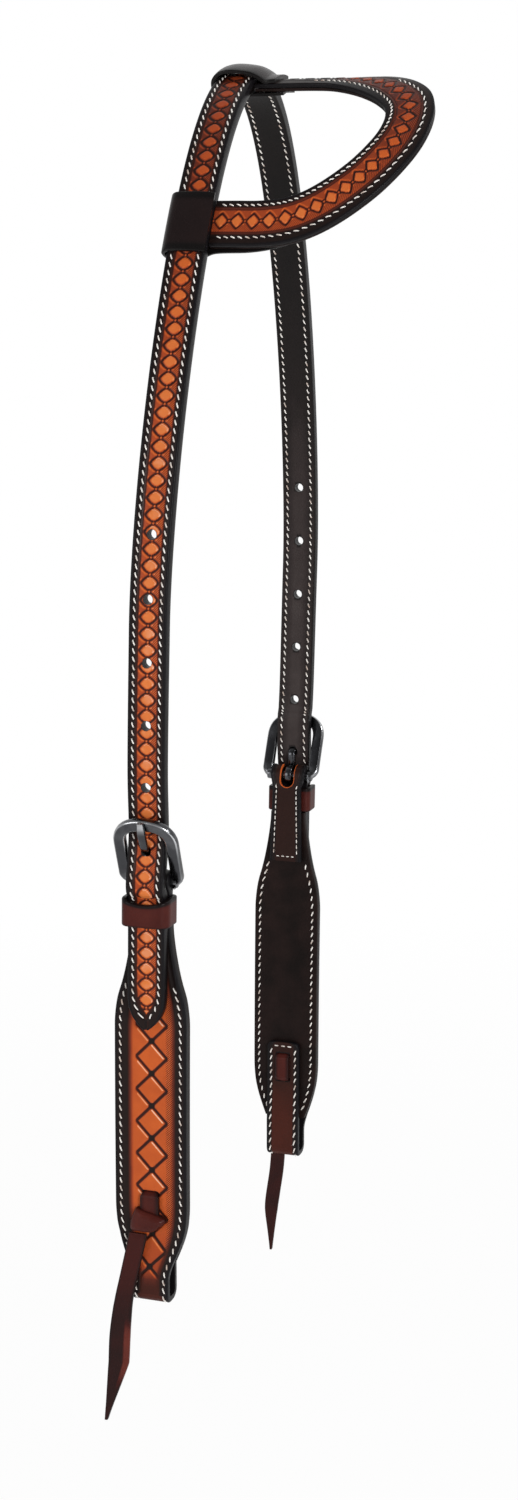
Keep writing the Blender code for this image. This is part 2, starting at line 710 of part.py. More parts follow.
def make_keeper(label, side, finish, bar):
    """A closed loop round the strap's tail and the cheek's neck, between the neck and the tab."""
    half_wide = NECK_WIDTH / 2 + KEEPER_SIDE_SLACK + KEEPER_LEATHER / 2
    back = -HALF_GAP - KEEPER_LEATHER / 2
    front = TAIL_MIDDLE + CROWN / 2 + LAYER_GAP + KEEPER_FRONT_SLACK + KEEPER_LEATHER / 2
    corners = [(-half_wide, back), (half_wide, back), (half_wide, front), (-half_wide, front)]
    radii = (KEEPER_BACK_CORNER, KEEPER_BACK_CORNER, KEEPER_CORNER, KEEPER_CORNER)
    line = rounded(corners, radii, closed=True)
    top = -BAR_DROP - KEEPER_BELOW_BAR
    rings = []
    for (across, off), square in zip(line, offsets(line, closed=True)):
        pairs = section(
            -KEEPER_LEATHER / 2, KEEPER_LEATHER / 2, top - KEEPER_HEIGHT, top, EDGE_ROUND, 0.0,
        )
        rings.append([
            cheek_place(side, off + square[1] * thick, across + square[0] * thick, height)
            for height, thick in pairs
        ])
    return loft(label + "_keeper", rings, finish, bar, closed=True)


def frame_place(side, along, across, proud):
    """A place in the tilted frame: along it from the bar, across, and proud of its plane."""
    off = BAR_MIDDLE + along * math.sin(FRAME_TILT) + proud * math.cos(FRAME_TILT)
    height = -BAR_DROP + along * math.cos(FRAME_TILT) - proud * math.sin(FRAME_TILT)
    return cheek_place(side, off, across, height)


def make_frame(label, side, finish, bar):
    """A horseshoe frame: a round bar, two flat arms and an arched rim."""
    half = (FRAME_WIDTH - RIM_WIDTH) / 2
    spring = FRAME_REACH - FRAME_RISE
    line = [(0.0, 0.0, 0.0)]
    for across, along in corner_arc((0.0, 0.0), (half, 0.0), (half, spring), FRAME_CORNER):
        line.append((across, along, min(1.0, along / FRAME_CORNER)))
    for i in range(ARC_STEPS + 1):
        turn = math.pi * i / ARC_STEPS
        line.append((half * math.cos(turn), spring + FRAME_RISE * math.sin(turn), 1.0))
    line += [(-across, along, flat) for across, along, flat in reversed(line[1:-ARC_STEPS - 1])]
    bar_chamfer = BAR_RADIUS * (1 - math.tan(math.pi / 8))
    rings = []
    flat_line = [(across, along) for across, along, _ in line]
    for (across, along, flat), square in zip(line, offsets(flat_line, closed=True)):
        wide = BAR_RADIUS + (RIM_WIDTH / 2 - BAR_RADIUS) * flat
        thick = BAR_RADIUS + (RIM_THICKNESS / 2 - BAR_RADIUS) * flat
        cut = bar_chamfer + (RIM_CHAMFER - bar_chamfer) * flat
        corners = [
            (wide, thick - cut), (wide - cut, thick), (cut - wide, thick), (-wide, thick - cut),
            (-wide, cut - thick), (cut - wide, -thick), (wide - cut, -thick), (wide, cut - thick),
        ]
        rings.append([
            frame_place(side, along + square[1] * w, across + square[0] * w, proud)
            for w, proud in corners
        ])
    return loft(label + "_buckle_frame", rings, finish, bar, closed=True)


def tongue_curl():
    return BAR_RADIUS + TONGUE_CLEARANCE + TONGUE_THICKNESS / 2


def tongue_through_strap():
    """The two bends between which the tongue crosses the strap."""
    inside = (BAR_MIDDLE + tongue_curl() - TONGUE_LEAN_IN, -BAR_DROP + TONGUE_CLIMB)
    outside = (behind_rim()[0] + CROWN / 2 + TONGUE_OUT, -BAR_DROP + TONGUE_OUT_ABOVE_BAR)
    return inside, outside


def tongue_line():
    """The tongue from inside its curl, up behind the strap, through its slot and onto the rim."""
    curl = tongue_curl()
    steps = 12
    line = []
    for i in range(steps):
        turn = CURL_SWEEP * (1 - i / steps)
        line.append((BAR_MIDDLE + curl * math.cos(turn), -BAR_DROP - curl * math.sin(turn)))
    proud = RIM_THICKNESS / 2 + TONGUE_CLEARANCE + TONGUE_THICKNESS / 2

    def in_frame(along):
        return (
            BAR_MIDDLE + along * math.sin(FRAME_TILT) + proud * math.cos(FRAME_TILT),
            -BAR_DROP + along * math.cos(FRAME_TILT) - proud * math.sin(FRAME_TILT),
        )

    corners = [
        (BAR_MIDDLE + curl, -BAR_DROP),
        *tongue_through_strap(),
        in_frame(FRAME_REACH - RIM_WIDTH),
        in_frame(FRAME_REACH + TONGUE_OVER_RIM),
    ]
    return line + rounded(corners, TONGUE_BEND)


def make_tongue(label, side, finish, bar):
    line = tongue_line()
    half = TONGUE_WIDTH / 2
    rings = []
    for (off, height), square in zip(line, offsets(line)):
        pairs = section(
            -TONGUE_THICKNESS / 2, TONGUE_THICKNESS / 2, -half, half, TONGUE_CHAMFER, TONGUE_CHAMFER,
        )
        rings.append([
            cheek_place(side, off + square[0] * thick, across, height + square[1] * thick)
            for across, thick in pairs
        ])
    return loft(label + "_buckle_tongue", rings, finish, bar)


def tie_knot_middle():
    return -FOOT + KNOT_ABOVE_FOOT


def make_knot(label, side, finish, bar):
    """The tie's ring through both slits, with the knot that covers its lower front."""
    front = HALF_GAP + OVERLAY + LAYER_GAP + TIE_THICKNESS / 2
    back = TAB_MIDDLE - OVERLAY / 2 - LAYER_GAP - TIE_THICKNESS / 2
    upper = -FOOT + UPPER_SLIT_ABOVE_FOOT
    lower = upper - SLIT_PITCH
    corners = [(front, upper), (front, lower), (back, lower), (back, upper)]
    line = rounded(corners, TIE_BEND, closed=True)
    rings = []
    for (off, height), square in zip(line, offsets(line, closed=True)):
        half = TIE_WAIST / 2
        if off >= front:
            half = TIE_WIDTH / 2
        pairs = section(-TIE_THICKNESS / 2, TIE_THICKNESS / 2, -half, half, 0.0, EDGE_ROUND)
        rings.append([
            cheek_place(side, off + square[0] * thick, across, height + square[1] * thick)
            for across, thick in pairs
        ])
    ring = loft(label + "_bit_tie_knot", rings, finish, bar, closed=True)
    low = HALF_GAP + OVERLAY + LAYER_GAP
    rings = []
    for off, share in ((low, 1.0), (low + KNOT_RISE / 2, 1.0), (low + KNOT_RISE, KNOT_CROWN_SHARE)):
        rings.append([
            cheek_place(
                side, off, share * across * KNOT_WIDTH,
                tie_knot_middle() + share * up * KNOT_HEIGHT,
            )
            for across, up in KNOT_SHARES
        ])
    lump = loft(label + "_knot_lump", rings, finish)
    lump.hide_render = True
    lump.display_type = "WIRE"
    combine(ring, lump, "UNION")
    return ring


def tie_hinge(side):
    """The axis on which the tie's tail hangs from its knot."""
    off = HALF_GAP + OVERLAY + LAYER_GAP + KNOT_RISE / 2 + TIE_THICKNESS / 4
    height = tie_knot_middle() - KNOT_HEIGHT / 2 - LAYER_GAP - TIE_THICKNESS / 2
    return off, height


def make_tail(label, side, width, length, lean, tip_back, lean_shares, taper_shares, finish):
    off, top = tie_hinge(side)
    pivot = cheek_place(side, off, TAIL_START_BACK, top)
    half_thick = TIE_THICKNESS / 2
    rings = []
    steps = 4
    for i in range(1, steps):
        turn = math.pi / 2 * (1 - i / steps)
        thick = half_thick * math.cos(turn)
        height = top + half_thick * math.sin(turn)
        half = width / 2 * taper_shares[0][1]
        rings.append(tail_ring(side, off, height, thick, TAIL_START_BACK, half))
    tables = (TAIL_PATH_SHARES, lean_shares, taper_shares)
    places = sorted({place for table in tables for place, _ in table})
    for place in places:
        middle = off + TAIL_SWELL * share_of(TAIL_PATH_SHARES, place)
        half = width / 2 * share_of(taper_shares, place)
        back = TAIL_START_BACK + lean * share_of(lean_shares, place)
        if place > TAIL_TIP_SHARE:
            back += tip_back * (place - TAIL_TIP_SHARE) / (1 - TAIL_TIP_SHARE)
        rings.append(tail_ring(side, middle, top - length * place, half_thick, back, half))
    return loft(label + "_bit_tie_tail", rings, finish, pivot)


def tail_ring(side, off, height, thick, back, half):
    edge = min(EDGE_ROUND, thick / 2, half / 2)
    pairs = section(-thick, thick, back - half, back + half, 0.0, edge)
    return [cheek_place(side, off + proud, across, height) for across, proud in pairs]


def make_side(label, side, looks, tail):
    tooled, plain, russet, steel = looks
    bar = cheek_place(side, BAR_MIDDLE, 0.0, -BAR_DROP)
    make_cheek(label, side, tooled, plain, bar)
    make_keeper(label, side, russet, bar)
    make_frame(label, side, steel, bar)
    make_tongue(label, side, steel, bar)
    make_knot(label, side, russet, bar)
    make_tail(label, side, *tail, russet)


def main():
    for old in list(bpy.data.objects):
        bpy.data.objects.remove(old)
    tooled = material("tooled_leather", (0.50, 0.14, 0.03), 0.45)
    plain = material("dark_leather", (0.045, 0.020, 0.014), 0.5)
    russet = material("russet_leather", (0.11, 0.022, 0.014), 0.42)
    steel = material("dark_steel", (0.16, 0.17, 0.18), 0.22, 1.0)
    make_crown(tooled, plain)
    make_ear(tooled, plain)
    looks = (tooled, plain, russet, steel)
    tail = (
        RIGHT_TIE_WIDTH, RIGHT_TIE_TAIL, RIGHT_TIE_LEAN, RIGHT_TIE_TIP_BACK,
        RIGHT_LEAN_SHARES, RIGHT_TAPER_SHARES,
    )
    make_side("right", RIGHT, looks, tail)
    tail = (
        LEFT_TIE_WIDTH, LEFT_TIE_TAIL, LEFT_TIE_LEAN, LEFT_TIE_TIP_BACK,
        LEFT_LEAN_SHARES, LEFT_TAPER_SHARES,
    )
    make_side("left", LEFT, looks, tail)


main()
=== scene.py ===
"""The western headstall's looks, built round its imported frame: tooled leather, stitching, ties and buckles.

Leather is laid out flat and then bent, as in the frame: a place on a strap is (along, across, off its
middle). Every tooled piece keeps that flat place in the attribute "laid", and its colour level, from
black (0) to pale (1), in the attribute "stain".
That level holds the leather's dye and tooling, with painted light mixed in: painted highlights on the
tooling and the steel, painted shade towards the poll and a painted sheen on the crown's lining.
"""

import bisect
import math

import bmesh
import bpy
from mathutils import Matrix, Vector

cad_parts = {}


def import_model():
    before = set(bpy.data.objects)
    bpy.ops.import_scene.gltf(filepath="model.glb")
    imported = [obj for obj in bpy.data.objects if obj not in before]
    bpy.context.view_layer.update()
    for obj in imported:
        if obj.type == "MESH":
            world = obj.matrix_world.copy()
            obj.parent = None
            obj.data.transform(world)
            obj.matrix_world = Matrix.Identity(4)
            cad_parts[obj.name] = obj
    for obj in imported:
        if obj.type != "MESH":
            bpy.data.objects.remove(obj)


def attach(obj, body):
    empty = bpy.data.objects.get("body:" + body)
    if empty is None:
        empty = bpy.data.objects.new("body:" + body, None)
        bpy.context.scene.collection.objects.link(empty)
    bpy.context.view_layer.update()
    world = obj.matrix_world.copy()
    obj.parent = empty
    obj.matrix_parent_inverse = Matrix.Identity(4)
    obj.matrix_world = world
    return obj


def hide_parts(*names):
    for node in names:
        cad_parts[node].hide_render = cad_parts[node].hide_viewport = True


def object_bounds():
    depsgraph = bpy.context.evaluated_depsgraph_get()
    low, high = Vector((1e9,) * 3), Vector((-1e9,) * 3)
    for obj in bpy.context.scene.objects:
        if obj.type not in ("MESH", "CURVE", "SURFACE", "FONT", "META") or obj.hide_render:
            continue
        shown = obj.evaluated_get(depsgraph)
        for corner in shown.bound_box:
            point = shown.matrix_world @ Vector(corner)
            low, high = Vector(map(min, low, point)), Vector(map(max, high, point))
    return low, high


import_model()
CAD_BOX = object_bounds()

# Leather
LAYER_GAP = 0.0003
OVERLAY = 0.0026
CROWN_LINING = 0.0021
CHEEK_LINING = 0.0024
LOOP_LEATHER = 0.0014
KEEPER_LEATHER = 0.0017
EAR_OVERLAY = 0.0017
EAR_LINING = 0.0014
EDGE_ROUND = 0.0006

# Crown strap
CROWN_WIDTH = 0.0159
ARCH_HALF_WIDTH = 0.0993
ARCH_DROP = 0.215
ARCH_TOP_PULL_SHARE = 0.57
ARCH_SIDE_PULL_SHARE = 0.302
SWAY_BACK = 0.011
SWAY_DROP = 0.480
LEFT_RAISED = 0.0045
LEFT_RAISED_SHARES = (
    (0.0, 0.0), (0.888, 0.0), (0.910, 1.0), (1.056, 1.0), (1.20, 0.0), (1.47, 0.0), (1.56, -0.8),
    (3.0, -0.8),
)
TAIL_BELOW_BAR = 0.062
TAIL_POINT = 0.013
TAIL_POINT_SHARES = ((0.0, 1.0), (0.3, 0.95), (0.6, 0.76), (0.85, 0.45), (1.0, 0.16))

# Punched holes, an inch apart, and the slot that the tongue has pulled out of the last one
HOLE_PITCH = 0.0254
HOLE_RADIUS = 0.002
FREE_HOLES = 5
LOWEST_FREE_HOLE_ABOVE_BAR = 0.0405
SLOT_WIDTH = 0.0042
SLOT_BELOW_TONGUE = 0.0029
SLOT_ABOVE_TONGUE = 0.0019

# Cheek piece
CHEEK_INSIDE_ARCH = 0.0076
CHEEK_WIDTH = 0.03175
NECK_WIDTH = 0.0168
FOOT_NECK_WIDTH = 0.0162
BAR_DROP = 0.3201
BAR_OUT = 0.0019
NECK_BELOW_BAR = 0.0195
SHOULDER_LENGTH = 0.041
SHOULDER_SHARES = (
    (0.0, 0.0), (0.09, 0.04), (0.22, 0.134), (0.35, 0.254), (0.48, 0.40), (0.61, 0.58),
    (0.74, 0.816), (0.87, 0.936), (1.0, 1.0),
)
CHEEK_LENGTH = 0.1844
HIP_ABOVE_FOOT = 0.0424
HIP_LENGTH = 0.030
HIP_SHARES = ((0.0, 1.0), (0.12, 0.98), (0.3, 0.91), (0.48, 0.73), (0.67, 0.46), (0.83, 0.2), (1.0, 0.0))
TOP_TAB_BELOW_BAR = 0.0395
TOP_TAB_WIDTH = 0.0156
TOP_TAB_WAIST = 0.0136
FOOT_TAB_LENGTH = 0.0554
FOOT_TAB_WIDTH = 0.016
FOOT_TAB_ROUND = 0.003
BIT_LOOP_SWELL_FRONT = 0.0022
BIT_LOOP_SWELL_BACK = 0.0012
BIT_LOOP_SWELL_END = 0.017
BIT_LOOP_SWELL_START = 0.030
BIT_LOOP_CORNER = 0.003
LINING_ABOVE_FOOT = 0.0182

# Buckle
BAR_RADIUS = 0.0019
BAR_CLEARANCE = 0.0004
FRAME_TILT = math.radians(23.5)
FRAME_REACH = 0.028
FRAME_WIDTH = 0.0276
FRAME_RISE = 0.0095
FRAME_CORNER = 0.0028
RIM_WIDTH = 0.0050
RIM_THICKNESS = 0.0032
RIM_CHAMFER = 0.0008
TONGUE_WIDTH = 0.0032
TONGUE_THICKNESS = 0.0022
TONGUE_CHAMFER = 0.0005
TONGUE_CLEARANCE = 0.00035
TONGUE_CLIMB = 0.0102
TONGUE_LEAN_IN = 0.0015
TONGUE_OUT_ABOVE_BAR = 0.0158
TONGUE_OUT = 0.0021
TONGUE_OVER_RIM = 0.003
TONGUE_BEND = 0.0022
CURL_SWEEP = math.radians(285.0)
TONGUE_SLOT_WIDTH = 0.007
TONGUE_SLOT_BELOW_BAR = 0.0054

# Keeper
KEEPER_HEIGHT = 0.0118
KEEPER_BELOW_BAR = 0.0058
KEEPER_SIDE_SLACK = 0.0003
KEEPER_FRONT_SLACK = 0.0011
KEEPER_CORNER = 0.0032
KEEPER_BACK_CORNER = 0.00145

# Tie through the slits over the bit loop
TIE_WIDTH = 0.0082
TIE_THICKNESS = 0.002
TIE_BEND = 0.0018
SLIT_PITCH = 0.012
SLIT_WIDTH = 0.0074
SLIT_HEIGHT = 0.0024
SLIT_CORNER = 0.001
UPPER_SLIT_ABOVE_FOOT = 0.0487
TIE_WAIST = 0.0066
KNOT_WIDTH = 0.0165
KNOT_HEIGHT = 0.0105
KNOT_RISE = 0.0046
KNOT_ABOVE_FOOT = 0.0375
KNOT_SHARES = (
    (0.5, -0.5), (0.5, -0.12), (0.36, 0.5), (0.2, 0.44), (-0.26, 0.26), (-0.5, 0.06), (-0.13, -0.5),
)
TAIL_START_BACK = 0.0043
TAIL_PATH_SHARES = (
    (0.0, 0.0), (0.1, 0.35), (0.2, 0.8), (0.32, 1.0), (0.5, 0.9), (0.75, 0.6), (1.0, 0.3),
)
TAIL_SWELL = 0.0011
TAIL_TIP_SHARE = 0.68
RIGHT_TIE_WIDTH = 0.0094
RIGHT_TIE_TAIL = 0.0868
RIGHT_TIE_LEAN = 0.0115
RIGHT_TIE_TIP_BACK = 0.0042
RIGHT_LEAN_SHARES = (
    (0.0, 0.0), (0.03, 0.07), (0.13, 0.23), (0.24, 0.41), (0.34, 0.58), (0.44, 0.68), (0.54, 0.76),
    (0.68, 0.815), (1.0, 1.0),
)
RIGHT_TAPER_SHARES = (
    (0.0, 0.86), (0.24, 0.84), (0.34, 0.86), (0.44, 0.94), (0.54, 1.0), (0.68, 1.0), (1.0, 0.12),
)
LEFT_TIE_WIDTH = 0.0071
LEFT_TIE_TAIL = 0.0866
LEFT_TIE_LEAN = 0.0055
LEFT_TIE_TIP_BACK = 0.0006
LEFT_LEAN_SHARES = (
    (0.0, 0.0), (0.1, 0.1), (0.3, 0.28), (0.5, 0.48), (0.68, 0.9), (0.75, 1.0), (1.0, 0.88),
)
LEFT_TAPER_SHARES = ((0.0, 1.0), (0.68, 1.0), (0.75, 0.95), (1.0, 0.12))

# Ear piece: a curved band laid on the arch, centred on a line of (run, forward) shares
EAR_WIDTH = 0.0196
EAR_RUN = 0.0877
EAR_REACH = 0.0791
EAR_LINE_SHARES = (
    (1.0, 0.200), (1.0, 0.341), (0.985, 0.48), (0.943, 0.602), (0.870, 0.722), (0.767, 0.842),
    (0.653, 0.932), (0.546, 0.985), (0.433, 1.0), (0.328, 0.968), (0.240, 0.885), (0.164, 0.775),
    (0.105, 0.660), (0.064, 0.546), (0.049, 0.426), (0.0456, 0.300), (0.0456, 0.200),
)
EAR_POLL_RUN_SHARE = 0.0456

# Each loop round the strap is a row of shares: across the strap's half width, off by the loop's
# rise, then where the leather starts and ends along the arch, in loop widths
LOWER_LOOP_RISE = 0.0044
LOWER_LOOP_WIDTH = 0.025
LOWER_LOOP_SHARES = (
    (-1.05, 0.78, 3.06, 4.06), (-0.6, 0.92, 3.06, 4.06), (0.0, 1.0, 3.06, 4.06), (0.6, 0.98, 3.06, 4.06),
    (1.0, 0.86, 3.06, 4.06), (1.22, 0.40, 3.06, 4.06), (1.26, -0.2, 3.06, 4.06),
    (1.2, -0.72, 3.06, 4.06), (0.95, -1.0, 3.06, 4.06), (0.5, -1.0, 3.06, 4.06),
    (-0.6, -1.0, 3.08, 4.04), (-1.3, -1.0, 3.16, 3.96), (-3.0, -1.0, 3.16, 3.94),
    (-4.2, -1.0, 3.10, 3.88), (-5.2, -1.0, 3.00, 3.78),
)
POLL_LOOP_RISE = 0.0056
POLL_LOOP_WIDTH = 0.026
POLL_LOOP_SHARES = (
    (-2.1, 0.18, -0.18, 0.51), (-1.8, 0.18, -0.18, 0.53), (-1.55, 0.22, -0.175, 0.60),
    (-1.2, 0.56, -0.17, 0.78), (-0.78, 0.84, -0.17, 0.82), (-0.1, 0.99, -0.17, 0.82),
    (0.45, 1.0, -0.17, 0.82), (0.9, 0.82, -0.17, 0.82), (1.2, 0.38, -0.17, 0.82),
    (1.25, -0.1, -0.17, 0.82), (1.2, -0.52, -0.17, 0.82), (0.95, -0.79, -0.17, 0.82),
    (0.5, -0.79, -0.17, 0.82), (-0.8, -0.79, -0.17, 0.78), (-1.5, -0.79, -0.175, 0.56),
    (-2.5, -0.79, -0.18, 0.51),
)

RIGHT = -1
LEFT = 1
CROWN = OVERLAY + LAYER_GAP + CROWN_LINING
HALF_GAP = LAYER_GAP / 2
CHEEK_PLANE = ARCH_HALF_WIDTH - CHEEK_INSIDE_ARCH
FACE_MIDDLE = HALF_GAP + OVERLAY / 2
TAB_MIDDLE = -HALF_GAP - CHEEK_LINING - LAYER_GAP - OVERLAY / 2
BAR_MIDDLE = (FACE_MIDDLE + TAB_MIDDLE) / 2 + BAR_OUT
WRAP_RADIUS = BAR_RADIUS + BAR_CLEARANCE + OVERLAY / 2
TAIL_MIDDLE = HALF_GAP + OVERLAY + LAYER_GAP + CROWN / 2
STRAP_OVER_BAR = BAR_MIDDLE + WRAP_RADIUS + OVERLAY / 2 + LAYER_GAP + CROWN / 2
FOOT = BAR_DROP + CHEEK_LENGTH
CUT_OVERRUN = 0.004
SHARPEST_MITRE_SHARE = 0.5
ARCH_POINTS = 120
STRAP_RUN_STEPS = 16
CURL_STEPS = 12
CORNER_STEP = math.radians(24.0)
ROUND_CUT_SIDES = 24


def smooth(low, high, value):
    """0 below low, 1 above high, and an even curve between."""
    t = min(1.0, max(0.0, (value - low) / (high - low)))
    return t * t * (3 - 2 * t)


def over_shares(shares, whole, value):
    """From 0 to 1 between two shares of a whole."""
    low, high = shares
    return smooth(low * whole, high * whole, value)


def band(rise, full, fade, gone, value):
    """1 within a band, 0 outside it, and an even curve at both of its edges."""
    return smooth(rise, full, value) * (1 - smooth(fade, gone, value))


def mix(a, b, t):
    return a + (b - a) * t


def share_of(table, place):
    """Reads a table of (place, share) pairs at a place between its rows."""
    for (low, first), (high, second) in zip(table, table[1:]):
        if place <= high:
            return first + (second - first) * (place - low) / (high - low)
    return table[-1][1]


def sway(height):
    """How far back the hanging straps lean at a height below the poll."""
    return SWAY_BACK * math.sin(math.pi / 2 * min(1.0, max(0.0, -height / SWAY_DROP)))


def raised(side, height):
    """The left buckle sits a little higher than the right one, and its bit loop hangs lower."""
    if side == RIGHT:
        return height
    return height + LEFT_RAISED * share_of(LEFT_RAISED_SHARES, -height / BAR_DROP)


def world(side, off_centre, across, height):
    """A place in the frame, from how far out from the middle, how far back, and how high it is."""
    return Vector((side * off_centre, across + sway(height), raised(side, height) + CROWN / 2))


def cheek_place(side, off, across, height):
    """A place measured off the plane in which a cheek hangs."""
    return world(side, CHEEK_PLANE + off, across, height)


def arch_curve(t):
    """One side of the arch, from the poll (0) to its widest place (1)."""
    top_pull = ARCH_TOP_PULL_SHARE * ARCH_HALF_WIDTH
    side_pull = ARCH_DROP - ARCH_SIDE_PULL_SHARE * ARCH_DROP
    near = 3 * (1 - t) ** 2 * t
    far = 3 * (1 - t) * t * t
    end = t ** 3
    return near * top_pull + (far + end) * ARCH_HALF_WIDTH, -(far * side_pull + end * ARCH_DROP)


def smooth_through(knots, steps):
    """A Catmull-Rom line through knots of any size."""
    ends = [tuple(2 * a - b for a, b in zip(knots[0], knots[1]))]
    ends += [tuple(k) for k in knots]
    ends += [tuple(2 * a - b for a, b in zip(knots[-1], knots[-2]))]
    line = []
    for first, a, b, last in zip(ends, ends[1:], ends[2:], ends[3:]):
        for step in range(steps):
            t = step / steps
            line.append(tuple(
                0.5 * (2 * q + (r - p) * t + (2 * p - 5 * q + 4 * r - s) * t * t
                       + (3 * q - p - 3 * r + s) * t ** 3)
                for p, q, r, s in zip(first, a, b, last)
            ))
    return line + [tuple(knots[-1])]


def behind_rim():
    """How far off the strap's middle may lie behind the rim, and at what height."""
    half = (FRAME_WIDTH - RIM_WIDTH) / 2
    rise = FRAME_RISE * math.sqrt(1 - (CROWN_WIDTH / 2 / half) ** 2)
    rim_foot = FRAME_REACH - FRAME_RISE + rise - RIM_WIDTH / 2
    rim_back = rim_foot * math.sin(FRAME_TILT) - RIM_THICKNESS / 2 * math.cos(FRAME_TILT)
    off = BAR_MIDDLE + rim_back - LAYER_GAP - CROWN / 2
    return off, -BAR_DROP + rim_foot * math.cos(FRAME_TILT)


def strap_run_knots():
    """The strap below the arch: behind the frame's rim, over the bar, then flat on the cheek."""
    rim_off, rim_level = behind_rim()
    keeper_top = -BAR_DROP - KEEPER_BELOW_BAR
    tail_end = -BAR_DROP - TAIL_BELOW_BAR
    return (
        (ARCH_HALF_WIDTH, -ARCH_DROP),
        (ARCH_HALF_WIDTH - LAYER_GAP, rim_level + FRAME_REACH),
        (CHEEK_PLANE + rim_off, rim_level),
        (CHEEK_PLANE + STRAP_OVER_BAR, -BAR_DROP),
        (CHEEK_PLANE + TAIL_MIDDLE + LAYER_GAP, keeper_top),
        (CHEEK_PLANE + TAIL_MIDDLE, keeper_top - KEEPER_HEIGHT),
        (CHEEK_PLANE + TAIL_MIDDLE, tail_end),
    )


def lengths(points):
    """The length of a bent line up to each of its points."""
    found = [0.0]
    for a, b in zip(points, points[1:]):
        found.append(found[-1] + math.dist(a, b))
    return found


class Run:
    """A bent centre line with its length, so that a place on it is a run from the start."""

    def __init__(self, points):
        self.points = points
        self.length = lengths(points)

    def at(self, run):
        """The point at a run, and the direction square to the line there."""
        last = len(self.points) - 1
        i = min(last - 1, max(0, bisect.bisect_left(self.length, run) - 1))
        share = (run - self.length[i]) / (self.length[i + 1] - self.length[i])
        a, b = self.points[i], self.points[i + 1]
        before = self.points[max(0, i - 1)]
        after = self.points[min(last, i + 2)]
        point = [p + (q - p) * share for p, q in zip(a, b)]
        if i == 0:
            before = (-b[0], b[1])
        start = Vector((b[0] - before[0], b[1] - before[1])).normalized()
        end = Vector((after[0] - a[0], after[1] - a[1])).normalized()
        along = (start * (1 - share) + end * share).normalized()
        return point, (-along[1], along[0])


ARCH = [arch_curve(i / ARCH_POINTS) for i in range(ARCH_POINTS)]
CROWN_RUN = Run(ARCH + smooth_through(strap_run_knots(), STRAP_RUN_STEPS))


def crown_place(side, run, across, off):
    """A place on the crown strap, a run from the poll. A run below 0 lies on the other side."""
    (out, height), (normal_out, normal_up) = CROWN_RUN.at(abs(run))
    side = side if run >= 0 else -side
    return world(side, out + normal_out * off, across, height + normal_up * off)


def offsets(line, closed=False):
    """The direction square to a flat line at each point, long enough to keep the thickness."""
    count = len(line)
    found = []
    for i in range(count):
        before = line[i - 1] if closed or i > 0 else None
        after = line[(i + 1) % count] if closed or i < count - 1 else None
        sides = []
        if before:
            sides.append((Vector(line[i]) - Vector(before)).normalized())
        if after:
            sides.append((Vector(after) - Vector(line[i])).normalized())
        normals = [Vector((-s[1], s[0])) for s in sides]
        middle = (normals[0] + normals[-1]).normalized()
        found.append(middle / max(SHARPEST_MITRE_SHARE, middle.dot(normals[0])))
    return found


def corner_arc(a, corner, b, radius):
    """Points that round a corner of a flat line."""
    first = (Vector(a) - Vector(corner)).normalized()
    second = (Vector(b) - Vector(corner)).normalized()
    half = first.angle(second) / 2
    back = radius / math.tan(half)
    start = Vector(corner) + first * back
    end = Vector(corner) + second * back
    centre = Vector(corner) + (first + second).normalized() * (radius / math.sin(half))
    steps = max(2, round((math.pi - 2 * half) / CORNER_STEP))
    from_centre = start - centre
    sweep = from_centre.angle_signed(end - centre)
    points = []
    for i in range(steps + 1):
        turn = -sweep * i / steps
        points.append((
            centre[0] + from_centre[0] * math.cos(turn) - from_centre[1] * math.sin(turn),
            centre[1] + from_centre[0] * math.sin(turn) + from_centre[1] * math.cos(turn),
        ))
    return points


def rounded(points, radius, closed=False):
    """A flat line with its corners rounded by one radius, or by one for each point."""
    count = len(points)
    radii = radius if isinstance(radius, tuple) else (radius,) * count
    line = [] if closed else [tuple(points[0])]
    inner = range(count) if closed else range(1, count - 1)
    for i in inner:
        line += corner_arc(points[i - 1], points[i], points[(i + 1) % count], radii[i])
    return line if closed else line + [tuple(points[-1])]


def round_slot(width, foot, top):
    """An upright slot with round ends, or a round hole where its height is its width."""
    radius = width / 2
    half = ROUND_CUT_SIDES // 2
    outline = []
    for i in range(half + 1):
        turn = math.pi * i / half
        outline.append((radius * math.cos(turn), top - radius + radius * math.sin(turn)))
    for i in range(half + 1):
        turn = math.pi + math.pi * i / half
        point = (radius * math.cos(turn), foot + radius + radius * math.sin(turn))
        if math.dist(point, outline[-1]) > LAYER_GAP and math.dist(point, outline[0]) > LAYER_GAP:
            outline.append(point)
    return outline


def crown_half_width(run, end):
    from_tip = max(0.0, run - (end - TAIL_POINT))
    return CROWN_WIDTH / 2 * share_of(TAIL_POINT_SHARES, from_tip / TAIL_POINT)


def body_half_width(height):
    """Half the cheek's width at a height, from the neck through the shoulder to the foot."""
    neck = NECK_WIDTH / 2
    full = CHEEK_WIDTH / 2
    down = -BAR_DROP - NECK_BELOW_BAR - height
    up = height + FOOT
    if down <= 0:
        return neck
    if down < SHOULDER_LENGTH:
        return neck + (full - neck) * share_of(SHOULDER_SHARES, down / SHOULDER_LENGTH)
    foot_neck = FOOT_NECK_WIDTH / 2
    below_hip = max(0.0, HIP_ABOVE_FOOT - up)
    return foot_neck + (full - foot_neck) * share_of(HIP_SHARES, below_hip / HIP_LENGTH)


def frame_place(side, along, across, proud):
    """A place in the tilted frame: along it from the bar, across, and proud of its plane."""
    off = BAR_MIDDLE + along * math.sin(FRAME_TILT) + proud * math.cos(FRAME_TILT)
    height = -BAR_DROP + along * math.cos(FRAME_TILT) - proud * math.sin(FRAME_TILT)
    return cheek_place(side, off, across, height)


def tongue_curl():
    """The radius of the tongue's middle round the bar."""
    return BAR_RADIUS + TONGUE_CLEARANCE + TONGUE_THICKNESS / 2


